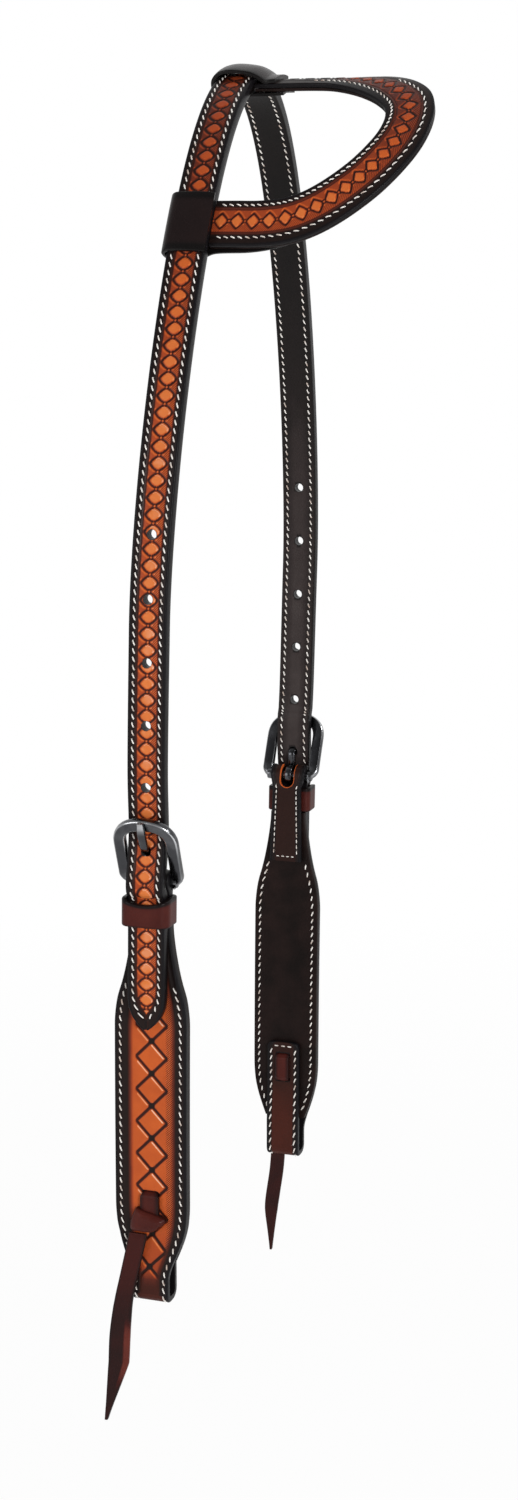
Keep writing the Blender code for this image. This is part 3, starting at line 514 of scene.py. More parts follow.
def tongue_through_strap():
    """The two bends between which the tongue crosses the strap."""
    inside = (BAR_MIDDLE + tongue_curl() - TONGUE_LEAN_IN, -BAR_DROP + TONGUE_CLIMB)
    outside = (behind_rim()[0] + CROWN / 2 + TONGUE_OUT, -BAR_DROP + TONGUE_OUT_ABOVE_BAR)
    return inside, outside


def tongue_line():
    """The tongue from inside its curl, up behind the strap, through its slot and onto the rim."""
    curl = tongue_curl()
    line = []
    for i in range(CURL_STEPS):
        turn = CURL_SWEEP * (1 - i / CURL_STEPS)
        line.append((BAR_MIDDLE + curl * math.cos(turn), -BAR_DROP - curl * math.sin(turn)))
    proud = RIM_THICKNESS / 2 + TONGUE_CLEARANCE + TONGUE_THICKNESS / 2

    def in_frame(along):
        return (
            BAR_MIDDLE + along * math.sin(FRAME_TILT) + proud * math.cos(FRAME_TILT),
            -BAR_DROP + along * math.cos(FRAME_TILT) - proud * math.sin(FRAME_TILT),
        )

    corners = [
        (BAR_MIDDLE + curl, -BAR_DROP),
        *tongue_through_strap(),
        in_frame(FRAME_REACH - RIM_WIDTH),
        in_frame(FRAME_REACH + TONGUE_OVER_RIM),
    ]
    return line + rounded(corners, TONGUE_BEND)


def tie_knot_middle():
    return -FOOT + KNOT_ABOVE_FOOT


def tie_hinge():
    """The axis on which the tie's tail hangs from its knot."""
    off = HALF_GAP + OVERLAY + LAYER_GAP + KNOT_RISE / 2 + TIE_THICKNESS / 4
    height = tie_knot_middle() - KNOT_HEIGHT / 2 - LAYER_GAP - TIE_THICKNESS / 2
    return off, height


# Stamped pattern on the straps
STRAP_INSET = 0.0035
STRAP_STITCH_INSET = 0.0023
STRAP_TOOLING_MIDDLE = -0.0003
DIAMOND_PITCH = 0.00666
DIAMOND_SHIFT = -0.0026
DIAMOND_WIDE = 0.0030
DIAMOND_TALL = 0.00245
DIAMOND_POWER = 1.42
LINE = 0.0010
PRESS = 0.00036
BEVEL = 0.0005
BEAD = 0.0006
HATCH_PITCH = 0.00095
BORDER_PRESSED_INSIDE = 0.0007
BORDER_PRESSED_OUTSIDE = 0.0006
BORDER_DARKENS = 0.0016

# How near its edge the leather starts to be dyed black, and is black
EDGE_DYE = (0.0016, 0.0007)
CHEEK_EDGE_DYE = (0.0017, 0.0008)

# Grooves in which the stitches lie
GROOVE_CORE = 0.0003
GROOVE_REACH = 0.0009
CHEEK_GROOVE_REACH = 0.0010
GROOVE_DEPTH = 0.00022
LINING_GROOVE_DEPTH = 0.0001
CHEEK_LINING_GROOVE_DEPTH = 0.00012
GROOVE_STAIN_SHARE = 0.7

# Large diamonds on the cheeks
PANEL_PITCH = 0.01423
PANEL_START = 0.0057
PANEL_WIDE = 0.0068
PANEL_MIDDLE = -0.0006
PANEL_LINE = 0.0014
PANEL_LINE_ENDS = 0.0006
PANEL_DOT = 0.0013
PANEL_BORDER = 0.0062
PANEL_NECK_BORDER = 0.0042
PANEL_STITCH_INSET = 0.0026
PANEL_STAIN = 0.61
PANEL_BORDER_DARKENS = 0.0012
PANEL_BORDER_DEPTH = 0.00012
PANEL_SHADE = (-0.0002, 0.0019)
PANEL_FLAT_TO_PRESSED = (0.004, 0.010)
PANEL_FOOT_FADE = (0.002, 0.012)
PANEL_FOOT_SHADE = (0.010, 0.034)
FOOT_TAB_SHADE = 0.030
TAB_STITCH_INSET = 0.0019

# Mesh steps along the leather
FINE_STEP = 0.00043
PANEL_STEP = 0.00034
COARSE_STEP = 0.0018
TAB_STEP = 0.0009
LINING_STEP = 0.0012
TAB_ROUND_STEP = 0.0003
TAB_ROUND_RUN = 0.0035
KEEPER_STEP = 0.0012
THONG_STEP = 0.0008

# Thread: along the stitch, how high it rides and how thick it is, in shares
STITCH_PITCH = 0.0035
STITCH_LENGTH = 0.0025
STITCH_SLANT = 0.0010
STITCH_SUNK = 0.0001
THREAD_RADIUS = 0.00034
STITCH_SIDES = 6
STITCH_SHARES = (
    (0.0, -0.9, 0.55), (0.16, 0.15, 0.95), (0.5, 0.5, 1.0), (0.84, 0.15, 0.95), (1.0, -0.9, 0.55),
)

# Stain levels, from black to pale; the pale level is used only for painted highlights
BLACK, DARK, PRESSED, BROWN = 0.0, 0.1, 0.2, 0.34
FACET, ORANGE, TAN, PALE = 0.52, 0.66, 0.8, 1.0

# The small diamonds' shades, outward from a diamond's edge, and their parts of the full shade
FACET_SHADE_START = -BEVEL * 1.6
# Painted highlight: a pale band on the bevels that face the light
FACET_PAINTED_HIGHLIGHT = tuple(BEVEL * share for share in (-1.5, -0.7, -0.4, 0.0))
FACET_HIGHLIGHT_SHARE = 0.7
LINE_WALL = (LINE * 0.55, LINE * 1.15)
# Painted highlight: a pale band on the line walls that face the light
LINE_PAINTED_HIGHLIGHT = tuple(LINE * share for share in (0.9, 1.2, 1.4, 1.9))
LINE_HIGHLIGHT_SHARE = 0.45
BEAD_ROOM = BEAD * 1.5
BEAD_TOP = (BEAD * 0.4, BEAD)
LIT_FROM = 0.4
GROUND_PRESS = PRESS * 0.45
ROW_HATCH_START = (LINE, LINE * 1.6)
ROW_HATCH = 0.8

# The large diamonds' shades, outward from a diamond's edge or from a dot's middle
PANEL_WALL = (PANEL_LINE * 0.28, PANEL_LINE * 0.62)
# Painted highlights: pale bands along the diamonds' edges on the sides that face the light
PANEL_PAINTED_HIGHLIGHT = tuple(PANEL_LINE * share for share in (0.45, 0.7, 0.85, 1.25))
PANEL_HIGHLIGHT_HALF_WIDTH = PANEL_WIDE * 0.92
PANEL_HIGHLIGHT_INSIDE = 0.85
PANEL_HIGHLIGHT_OUTSIDE = 0.75
PANEL_DIAMOND_LIFT = 0.02
PANEL_DOT_ROOM = PANEL_DOT * 1.4
PANEL_DOT_EDGE = (PANEL_DOT * 0.8, PANEL_DOT * 1.25)
PANEL_DOT_PRESS = PRESS * 1.15
PANEL_HATCH_START = (PANEL_WIDE * 0.86, PANEL_WIDE * 1.05)
PANEL_HATCH_DARKENS = 0.09

# The panel's stain beside its border and over its foot, and the stain of the cheek's folds and tabs
PANEL_SIDE_STAIN = BROWN * 0.9
PANEL_SIDE_LEAST = 0.1
PANEL_FOOT_STAIN = PRESSED * 1.2
PANEL_FOOT_LEAST = 0.78
FOLD_STAIN = DARK * 1.5
FOOT_TAB_STAINS = (BROWN * 0.76, PRESSED * 0.85)
TAB_SIDE_DARKENS = (0.6, 0.9)


# Materials

WHITE = (1.0, 1.0, 1.0, 1.0)
GRAIN_SCALE = 1300.0
TOOLED_GRAIN_SCALE = 1500.0
GRAIN_TO_CLOUDS = 14
GRAIN_DEPTH = 0.0003
THREAD_BUMP = 0.0001
LEATHER_SHINE = 0.11
FINE_GRAIN_STRENGTH = 0.25
PLAIN_GRAIN_STRENGTH = 0.3
HATCH_DARKENS = 0.42
TOOLED_UNEVEN = 0.22
DYED_UNEVEN = 0.24
STEEL_UNEVEN = 0.4
DYED_GLOSS_SPREAD = 0.08
TOOLED_ROUGHNESS = (0.28, 0.42)
STEEL_ROUGHNESS = (0.12, 0.30)
THREAD_ROUGHNESS = 0.5


def new_material(name):
    """A material, its node tree and its main shader."""
    made = bpy.data.materials.new(name)
    made.use_nodes = True
    return made, made.node_tree, made.node_tree.nodes["Principled BSDF"]


def add_node(tree, kind, **values):
    """A node with constants on its inputs and settings of its own."""
    made = tree.nodes.new(kind)
    for key, value in values.items():
        if key in made.inputs:
            made.inputs[key].default_value = value
        else:
            setattr(made, key, value)
    return made


def at_object_places(tree, texture):
    """Lays a texture out in the object's own space, and gives back its value."""
    place = add_node(tree, "ShaderNodeTexCoord")
    tree.links.new(place.outputs["Object"], texture.inputs["Vector"])
    return texture.outputs["Fac"]


def noise(tree, **values):
    return at_object_places(tree, add_node(tree, "ShaderNodeTexNoise", **values))


def maths(tree, operation, *values):
    """The result of a sum on sockets and constants."""
    made = add_node(tree, "ShaderNodeMath", operation=operation)
    for into, value in zip(made.inputs, values):
        if isinstance(value, bpy.types.NodeSocket):
            tree.links.new(value, into)
        else:
            into.default_value = value
    return made.outputs["Value"]


def map_range(tree, value, to_low, to_high, from_low=0.0, from_high=1.0):
    made = add_node(tree, "ShaderNodeMapRange", **{
        "From Min": from_low, "From Max": from_high, "To Min": to_low, "To Max": to_high})
    tree.links.new(value, made.inputs["Value"])
    return made.outputs["Result"]


def uneven(tree, value, amount):
    """A value from 0 to 1, brought to a small amount round zero."""
    return maths(tree, "MULTIPLY_ADD", value, amount, -amount / 2)


def attribute(tree, name, output="Fac"):
    return add_node(tree, "ShaderNodeAttribute", attribute_name=name).outputs[output]


def add_bump(tree, shader, height, strength, distance):
    bump = add_node(tree, "ShaderNodeBump", Strength=strength, Distance=distance)
    tree.links.new(height, bump.inputs["Height"])
    tree.links.new(bump.outputs["Normal"], shader.inputs["Normal"])


def add_grain(tree, shader, scale, strength, pressed=None):
    """Fine leather grain in the bump, with a pressed pattern. It gives back wide soft clouds."""
    height = noise(tree, Scale=scale, Detail=4.0, Roughness=0.6)
    if pressed is not None:
        height = maths(tree, "ADD", height, pressed)
    add_bump(tree, shader, height, strength, GRAIN_DEPTH)
    return noise(tree, Scale=scale / GRAIN_TO_CLOUDS, Detail=3.0)


def colour_by(tree, shader, value, stops):
    """The shader's colour, from a value and the colours at its stops."""
    made = tree.nodes.new("ShaderNodeValToRGB")
    elements = made.color_ramp.elements
    while len(elements) < len(stops):
        elements.new(0.5)
    for element, (place, colour) in zip(elements, stops):
        element.position = place
        element.color = (*colour, 1.0)
    tree.links.new(value, made.inputs["Fac"])
    tree.links.new(made.outputs["Color"], shader.inputs["Base Color"])


def roughness_by(tree, shader, value, low, high):
    tree.links.new(map_range(tree, value, low, high), shader.inputs["Roughness"])


def dye(tree, shader, value, clouds, stops, rough, shine):
    """Smooth dyed leather: its colours, and a gloss that varies a little."""
    colour_by(tree, shader, value, stops)
    roughness_by(tree, shader, clouds, rough - DYED_GLOSS_SPREAD, rough + DYED_GLOSS_SPREAD)
    shader.inputs["Specular IOR Level"].default_value = shine


def tooled_material():
    """Colour from the stain attribute, with hatching where the third part of laid asks for it."""
    made, tree, shader = new_material("tooled_leather_finish")
    stain_and_painted_light = attribute(tree, "stain_and_painted_light")
    parts = add_node(tree, "ShaderNodeSeparateXYZ")
    tree.links.new(attribute(tree, "laid", "Vector"), parts.inputs["Vector"])
    slope = maths(tree, "SUBTRACT", parts.outputs["X"], parts.outputs["Y"])
    wave = maths(tree, "SINE", maths(tree, "MULTIPLY", slope, 2 * math.pi / HATCH_PITCH))
    hatch = maths(tree, "MULTIPLY", wave, parts.outputs["Z"])
    clouds = add_grain(tree, shader, TOOLED_GRAIN_SCALE, FINE_GRAIN_STRENGTH, hatch)
    shift = maths(tree, "MULTIPLY_ADD", hatch, HATCH_DARKENS, uneven(tree, clouds, TOOLED_UNEVEN))
    total = maths(tree, "ADD", stain_and_painted_light, maths(tree, "MULTIPLY", stain_and_painted_light, shift))
    colour_by(tree, shader, total, (
        (BLACK, (0.007, 0.006, 0.007)), (DARK, (0.014, 0.008, 0.007)), (PRESSED, (0.030, 0.009, 0.006)),
        (BROWN, (0.095, 0.018, 0.010)), (FACET, (0.36, 0.058, 0.016)), (ORANGE, (0.55, 0.105, 0.021)),
        (TAN, (0.66, 0.18, 0.045)), (PALE, (0.90, 0.66, 0.52)),
    ))
    roughness_by(tree, shader, clouds, *TOOLED_ROUGHNESS)
    shader.inputs["Specular IOR Level"].default_value = LEATHER_SHINE
    return made


def plain_material(name, dark, light, rough, shine):
    """Dyed leather, a little uneven in colour."""
    made, tree, shader = new_material(name)
    clouds = add_grain(tree, shader, GRAIN_SCALE, PLAIN_GRAIN_STRENGTH)
    dye(tree, shader, clouds, clouds, ((0.3, dark), (0.75, light)), rough, shine)
    return made


def shaded_material(name, stops, rough, shine):
    """Dyed leather whose colour follows the stain attribute."""
    made, tree, shader = new_material(name)
    clouds = add_grain(tree, shader, GRAIN_SCALE, FINE_GRAIN_STRENGTH)
    total = maths(tree, "ADD", uneven(tree, clouds, DYED_UNEVEN), attribute(tree, "stain_and_painted_light"))
    dye(tree, shader, total, clouds, stops, rough, shine)
    return made


def thread_material():
    """Waxed thread, with its twist in the bump and a little dirt."""
    made, tree, shader = new_material("waxed_thread_finish")
    twist = add_node(tree, "ShaderNodeTexWave", Scale=520.0, Distortion=1.5, bands_direction="DIAGONAL")
    add_bump(tree, shader, at_object_places(tree, twist), 0.35, THREAD_BUMP)
    spots = noise(tree, Scale=240.0, Detail=2.0)
    colour_by(tree, shader, spots, ((0.34, (0.50, 0.40, 0.34)), (0.52, (0.86, 0.82, 0.77))))
    shader.inputs["Roughness"].default_value = THREAD_ROUGHNESS
    return made


def steel_material():
    """Blackened steel, brighter where the stain attribute is high: painted highlights on the frame and
    tongue.
    """
    made, tree, shader = new_material("gunmetal_finish")
    wear = noise(tree, Scale=160.0, Detail=4.0)
    worn = maths(tree, "ADD", uneven(tree, wear, STEEL_UNEVEN), attribute(tree, "stain_and_painted_light"))
    colour_by(tree, shader, worn, (
        (0.0, (0.026, 0.027, 0.030)), (0.35, (0.055, 0.056, 0.062)), (0.7, (0.22, 0.225, 0.235)),
        (1.0, (0.62, 0.63, 0.65)),
    ))
    roughness_by(tree, shader, wear, *STEEL_ROUGHNESS)
    for key, value in (("Metallic", 1.0), ("Coat Weight", 0.35), ("Coat Roughness", 0.08)):
        shader.inputs[key].default_value = value
    return made


# A finish is a material and the slot of the part that it stands for
TOOLED = (tooled_material(), "tooled_leather")
DARK_PLAIN = (
    plain_material("dark_leather_finish", (0.006, 0.0035, 0.003), (0.016, 0.008, 0.007), 0.40, 0.09),
    "dark_leather",
)
RUSSET = (shaded_material("russet_leather_finish", (
    (0.0, (0.006, 0.0035, 0.0035)), (0.3, (0.017, 0.006, 0.0055)),
    (0.6, (0.050, 0.0085, 0.0065)), (1.0, (0.15, 0.030, 0.02)),
), 0.30, 0.12), "russet_leather")
# The crown lining's finish, whose higher stain levels paint a sheen
LINING_PAINTED_SHEEN = (shaded_material("lining_painted_sheen_finish", (
    (0.0, (0.0045, 0.0032, 0.003)), (0.3, (0.010, 0.0065, 0.006)),
    (0.6, (0.032, 0.023, 0.022)), (1.0, (0.085, 0.07, 0.066)),
), 0.30, 0.16), "dark_leather")
LOOP_FINISH = (shaded_material("loop_leather_finish", (
    (0.0, (0.006, 0.005, 0.005)), (0.5, (0.013, 0.008, 0.008)), (1.0, (0.035, 0.016, 0.013)),
), 0.28, 0.14), "dark_leather")
THREAD = (thread_material(), "tooled_leather")
STEEL = (steel_material(), "dark_steel")


# Mesh helpers

# The angle in degrees above which an edge stays sharp
SHARP_LEATHER = 40.0
SHARP_SMALL = 50.0
SHARP_THREAD = 80.0
EDGE_STEPS = 3
BACK_BEVEL_SHARE = 0.3
NEARBY = (-2, -1, 0, 1, 2)

# A small step by which a stitch's own directions are found
NUDGE = 0.0004


def new_object(name, points, faces):
    """A mesh object with its faces turned outward."""
    mesh = bpy.data.meshes.new(name)
    mesh.from_pydata([tuple(p) for p in points], [], faces)
    shape = bmesh.new()
    shape.from_mesh(mesh)
    bmesh.ops.recalc_face_normals(shape, faces=shape.faces)
    shape.to_mesh(mesh)
    shape.free()
    made = bpy.data.objects.new(name, mesh)
    bpy.context.scene.collection.objects.link(made)
    return made


def keep_laid(mesh, laid):
    kept = mesh.attributes.new("laid", "FLOAT_VECTOR", "POINT")
    kept.data.foreach_set("vector", [value for row in laid for value in row])


def keep_stain_and_painted_light(mesh, stain_and_painted_light):
    kept = mesh.attributes.new("stain_and_painted_light", "FLOAT", "POINT")
    kept.data.foreach_set("value", stain_and_painted_light)


def piece(name, points, faces, finish, body, replaced=(), laid=None, stain_and_painted_light=None, sharp=SHARP_LEATHER):
    """Makes a shown object that rides on a body, with what each point keeps of its flat place."""
    made = new_object(name, points, faces)
    material, slot_name = finish
    if laid:
        keep_laid(made.data, laid)
    if stain_and_painted_light:
        keep_stain_and_painted_light(made.data, stain_and_painted_light)
    made.data.materials.append(material)
    made.data.shade_smooth()
    made.data.set_sharp_from_angle(angle=math.radians(sharp))
    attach(made, body)
    if replaced:
        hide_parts(*replaced)
    return made


def ring_faces(rings, size, closed=False, base=0):
    """The faces of a tube of rings, whose first point is number base: capped, or closed on itself."""
    faces = []
    for r in range(rings if closed else rings - 1):
        a = base + r * size
        b = base + (r + 1) % rings * size
        for i in range(size):
            j = (i + 1) % size
            faces.append((a + i, a + j, b + j, b + i))
    if not closed:
        faces.append(tuple(range(base, base + size)))
        faces.append(tuple(range(base + (rings - 1) * size, base + rings * size)))
    return faces


def dense(coarse, step, closed=False):
    """A line with each of its stretches cut into steps of about one length."""
    line = []
    for a, b in zip(coarse, coarse[1:] + coarse[:1] if closed else coarse[1:]):
        count = max(1, round(math.dist(a, b) / step))
        line += [tuple(mix(p, q, i / count) for p, q in zip(a, b)) for i in range(count)]
    return line if closed else line + [tuple(coarse[-1])]


def steps_between(start, end, step):
    count = max(1, round((end - start) / step))
    return [start + (end - start) * i / count for i in range(count + 1)]


def strap_section(half, low, high, columns, edge, back_edge=0.0):
    """A strap's cross-section: its upper face in fine columns, then round by its lower face."""
    flat = half - edge
    pairs = [(-flat + 2 * flat * i / columns, high) for i in range(columns + 1)]
    turn = [math.pi / 2 * i / EDGE_STEPS for i in range(1, EDGE_STEPS + 1)]
    right = [(flat + edge * math.sin(t), high - edge + edge * math.cos(t)) for t in turn]
    if back_edge:
        bevel = back_edge * BACK_BEVEL_SHARE
        right += [(half, low + back_edge), (half - bevel, low + bevel), (half - back_edge, low)]
    else:
        right += [(half, low)]
    return pairs + right + [(-across, off) for across, off in reversed(right)]


def soft_corners(wide, thick, edge, steps):
    """A flat bar's cross-section with its four edges rounded."""
    section = []
    for quarter, (u, v) in enumerate(((1, 1), (-1, 1), (-1, -1), (1, -1))):
        for k in range(steps + 1):
            turn = math.pi / 2 * (quarter + k / steps)
            section.append((
                u * (wide - edge) + edge * math.cos(turn), v * (thick - edge) + edge * math.sin(turn)))
    return section


def strap(name, stations, half_of, place, low, high, columns, look, finish, body, replaced):
    """A strap laid along its stations, its upper face pressed and stained by look(along, across, half)."""
    points = []
    laid = []
    stain_and_painted_light = []
    for along in stations:
        half = half_of(along)
        pairs = strap_section(half, low, high, columns, min(EDGE_ROUND, half / 3))
        for i, (across, off) in enumerate(pairs):
            press, level, hatch = look(along, across, half) if i <= columns else (0.0, BLACK, 0.0)
            points.append(place(along, across, off + press))
            laid.append((along, across, hatch))
            stain_and_painted_light.append(level)
    return piece(name, points, ring_faces(len(stations), len(pairs)), finish, body, replaced, laid, stain_and_painted_light)


def stitches(name, runs, body):
    """Rows of short slanted threads. A run is (start, end, row of along, place, off, slant, size)."""
    points = []
    faces = []
    for start, end, row, place, off, slant, size in runs:
        count = max(1, round(abs(end - start) / (STITCH_PITCH * size)))
        pitch = (end - start) / count
        length = pitch * STITCH_LENGTH / STITCH_PITCH
        for i in range(count):
            first = start + pitch * i + (pitch - length) / 2
            faces += ring_faces(len(STITCH_SHARES), STITCH_SIDES, base=len(points))
            for share, rise, fat in STITCH_SHARES:
                along = first + length * share
                across = row(along) + slant * (0.5 - share)
                here = place(along, across, off + rise * THREAD_RADIUS)
                ahead = place(along + NUDGE, row(along + NUDGE) - slant * NUDGE / length, off) - place(
                    along, row(along), off)
                up = (place(along, across, off + NUDGE) - place(along, across, off)).normalized()
                side = ahead.normalized().cross(up).normalized()
                radius = THREAD_RADIUS * fat * min(1.0, size)
                for k in range(STITCH_SIDES):
                    turn = 2 * math.pi * k / STITCH_SIDES
                    points.append(here + (side * math.cos(turn) + up * math.sin(turn)) * radius)
    return piece(name, points, faces, THREAD, body, sharp=SHARP_THREAD)


# Cutting

def add_prism(points, faces, side, outline, first, last, climb=0.0):
    """Adds a cutting prism from one distance off the cheek's plane to another."""
    faces += ring_faces(2, len(outline), base=len(points))
    points += [cheek_place(side, first, across, height) for across, height in outline]
    points += [cheek_place(side, last, across, height + climb) for across, height in outline]


def cut(targets, points, faces):
    """Cuts closed shapes out of each target. Their raw walls are stained as undyed leather."""
    tool = new_object("cutting_tool", points, faces)
    keep_stain_and_painted_light(tool.data, [TAN] * len(points))
    tool.data.attributes.new("laid", "FLOAT_VECTOR", "POINT")
    for target in targets:
        change = target.modifiers.new("cut", "BOOLEAN")
        change.operation = "DIFFERENCE"
        change.solver = "MANIFOLD"
        change.object = tool
        evaluated = target.evaluated_get(bpy.context.evaluated_depsgraph_get())
        mesh = bpy.data.meshes.new_from_object(evaluated)
        target.modifiers.remove(change)
        target.data = mesh
    bpy.data.objects.remove(tool)


# Tooling

def groove_at(distance, reach=GROOVE_REACH):
    """How deep in a stitch groove a place lies, from 0 to 1, at a distance from its middle."""
    return 1 - smooth(GROOVE_CORE, reach, distance)


def edge_dye(half, across, dye_run):
    """How black the dyed edge is, from 0 to 1."""
    start, full = dye_run
    return smooth(half - start, half - full, abs(across))


def stamped_row(along, across, wide, power):
    """Raised diamonds in a pressed line with a bead between each two: (press, stain, hatch)."""
    down = ((along / DIAMOND_PITCH) % 1.0 - 0.5) * DIAMOND_PITCH
    size = abs(across / wide) ** power + abs(down / DIAMOND_TALL) ** power
    out = (size ** (1 / power) - 1) * DIAMOND_TALL
    side, end = across / wide, down / DIAMOND_TALL
    lit = (-side - end) / max(LIT_FROM, math.hypot(side, end))
    if out < 0:
        level = mix(TAN, FACET, smooth(FACET_SHADE_START, 0.0, out))
        # Painted highlight on a bevel that faces the light
        if lit > LIT_FROM:
            level = mix(level, PALE, FACET_HIGHLIGHT_SHARE * band(*FACET_PAINTED_HIGHLIGHT, out))
        return -PRESS * smooth(-BEVEL, 0.0, out), level, 0.0
    bead = math.hypot(DIAMOND_PITCH / 2 - abs(down), across)
    if bead < BEAD_ROOM:
        round_top = 1 - smooth(*BEAD_TOP, bead)
        return mix(-PRESS, 0.0, round_top), mix(PRESSED, TAN, round_top), 0.0
    wall = 1 - smooth(*LINE_WALL, out)
    level = mix(FACET, PRESSED, wall)
    # Painted highlight on a line wall that faces the light
    if lit < -LIT_FROM:
        level = mix(level, PALE, LINE_HIGHLIGHT_SHARE * band(*LINE_PAINTED_HIGHLIGHT, out))
    hatch = ROW_HATCH * smooth(*ROW_HATCH_START, out) if across < 0 else 0.0
    return mix(-GROUND_PRESS, -PRESS, wall), level, hatch


def framed(across, half, field, middle, stamp, stitch_rows, ground):
    """A stamped field in a pressed border, with a groove under each stitch row."""
    inside = field - abs(across - middle)
    if inside > 0:
        press, level, hatch = stamp
        rim = 1 - smooth(0.0, BORDER_PRESSED_INSIDE, inside)
        press = mix(press, -PRESS, rim)
        level = mix(level, PRESSED, rim)
        hatch *= 1 - rim
    else:
        press = -PRESS * (1 - smooth(0.0, BORDER_PRESSED_OUTSIDE, -inside))
        level = mix(ground, DARK, smooth(0.0, BORDER_DARKENS, -inside))
        hatch = 0.0
    for row in stitch_rows:
        groove = groove_at(abs(across - row))
        press = min(press, -GROOVE_DEPTH * groove)
        level = mix(level, DARK / 2, groove * GROOVE_STAIN_SHARE)
    return press, mix(level, BLACK, edge_dye(half, across, EDGE_DYE)), hatch


# Crown strap

# Layers that are sewn together touch but for this
SEWN_GAP = 0.00004
CROWN_COLUMNS = 40
CROWN_LINING_COLUMNS = 24
CROWN_STITCH_SIZE = 0.95
CROWN_STITCH_SHORT_OF_END = STRAP_STITCH_INSET * 1.9
POINT_INSET_SHARE = 1.3

# The stretch of lining, from the poll, over which its painted sheen comes up, and its stain: plain,
# with a faint painted sheen at its sides and a stronger one down its middle
SHEEN_START = 0.09
SHEEN_FULL = 0.26
SHEEN_FADES_ACROSS = (0.2, 0.7)
LINING_STAIN = 0.05
PAINTED_SHEEN_STAINS = (0.42, 0.66)

# Painted shade, darker towards the poll, as a share of the stain and over a length of strap
POLL_SHADE = 0.62
POLL_SHADE_RUN = 0.19

CROWN_END = CROWN_RUN.length[-1]


def crown_point(along, across, off):
    return crown_place(RIGHT, along, across, off)


def crown_half(along):
    return crown_half_width(abs(along), CROWN_END)


def crown_inset(along, inset):
    """How far out a line lies that keeps an inset from the strap's edge and its pointed end."""
    ahead = min(CROWN_END, abs(along) + inset * POINT_INSET_SHARE)
    return max(0.0, crown_half_width(ahead, CROWN_END) - inset)


def crown_look(along, across, half):
    row = crown_inset(along, STRAP_STITCH_INSET)
    field = crown_inset(along, STRAP_INSET)
    press, level, hatch = stamped_row(
        abs(along) + DIAMOND_SHIFT, across - STRAP_TOOLING_MIDDLE, DIAMOND_WIDE, DIAMOND_POWER)
    # Painted shade towards the poll
    level *= mix(POLL_SHADE, 1.0, smooth(0.0, POLL_SHADE_RUN, abs(along)))
    return framed(across, half, field, STRAP_TOOLING_MIDDLE, (press, level, hatch), (row, -row), PRESSED)


def lining_look(along, across, half):
    row = half - STRAP_STITCH_INSET
    groove = groove_at(min(abs(across - row), abs(across + row)))
    return -LINING_GROOVE_DEPTH * groove, DARK, 0.0


def painted_sheen_look(along, across, half):
    """The crown's lining, painted with a sheen down its middle where a cheek hangs from it."""
    press, _, hatch = lining_look(along, across, half)
    middle = 1 - over_shares(SHEEN_FADES_ACROSS, half, abs(across))
    painted_light = smooth(SHEEN_START, SHEEN_FULL, abs(along))
    return press, mix(LINING_STAIN, mix(*PAINTED_SHEEN_STAINS, middle), painted_light), hatch


def cut_strap_holes(targets):
    """The punched holes, and the slots of the tongues."""
    points = []
    faces = []
    lowest = -BAR_DROP + LOWEST_FREE_HOLE_ABOVE_BAR
    high = ARCH_HALF_WIDTH - CHEEK_PLANE + CROWN + CUT_OVERRUN
    (start, level), (end, end_level) = tongue_through_strap()
    slot = round_slot(SLOT_WIDTH, level - SLOT_BELOW_TONGUE, level + SLOT_ABOVE_TONGUE)
    for side in (RIGHT, LEFT):
        for i in range(FREE_HOLES):
            middle = lowest + i * HOLE_PITCH
            hole = round_slot(2 * HOLE_RADIUS, middle - HOLE_RADIUS, middle + HOLE_RADIUS)
            add_prism(points, faces, side, hole, HALF_GAP, high)
        add_prism(points, faces, side, slot, start, end, end_level - level)
    cut(targets, points, faces)


def make_crown():
    low = -CROWN / 2
    seam = low + CROWN_LINING

    def turned(along, across, off):
        return crown_point(along, across, -off)

    overlay = strap(
        "crown_tooled_layer", steps_between(-CROWN_END, CROWN_END, FINE_STEP), crown_half, crown_point,
        seam + SEWN_GAP, CROWN / 2, CROWN_COLUMNS, crown_look, TOOLED, "crown", ("crown_overlay",))
    lining = strap(
        "crown_plain_layer", steps_between(-CROWN_END, CROWN_END, COARSE_STEP), crown_half, turned,
        -seam, -low, CROWN_LINING_COLUMNS, painted_sheen_look, LINING_PAINTED_SHEEN, "crown", ("crown_lining",))
    cut_strap_holes((overlay, lining))
    end = CROWN_END - CROWN_STITCH_SHORT_OF_END
    runs = []
    for sign in (1, -1):
        def row(along, sign=sign):
            return sign * crown_inset(along, STRAP_STITCH_INSET)
        runs.append((-end, end, row, crown_point, CROWN / 2 - STITCH_SUNK, STITCH_SLANT, CROWN_STITCH_SIZE))
        runs.append((-end, end, row, turned, -low - STITCH_SUNK, -STITCH_SLANT, CROWN_STITCH_SIZE))
    stitches("crown_stitching", runs, "crown")


# Ear piece

EAR_LINE_STEPS = 12
EAR_COLUMNS = 46
EAR_LINING_COLUMNS = 20
EAR_INNER_STITCH = 0.0021
EAR_INNER_STITCH_AT_POLL = 0.0040
EAR_OUTER_STITCH = 0.0036
EAR_FIELD = 0.0050
EAR_MIDDLE = 0.0008
EAR_DIAMOND_WIDE = 0.0028
EAR_DIAMOND_POWER = 1.15
EAR_OUTER_ROW_END_SHARE = 0.68
EAR_POLL_DARK = 0.028
EAR_POLL_DARK_FADE = 0.012
EAR_STITCH_START = 0.002
EAR_STITCH_PAST_DARK = 0.004
EAR_STITCH_SIZE = 0.85
EAR_STITCH_SLANT = STITCH_SLANT * 0.8
EAR_HATCH_SHARE = 0.6
EAR_SHADE = 0.92

# Shares of the band over which it rolls towards the poll, and over which painted shade darkens it
EAR_ROLL = (0.45, 0.75)
EAR_DARKENS = (0.25, 0.7)

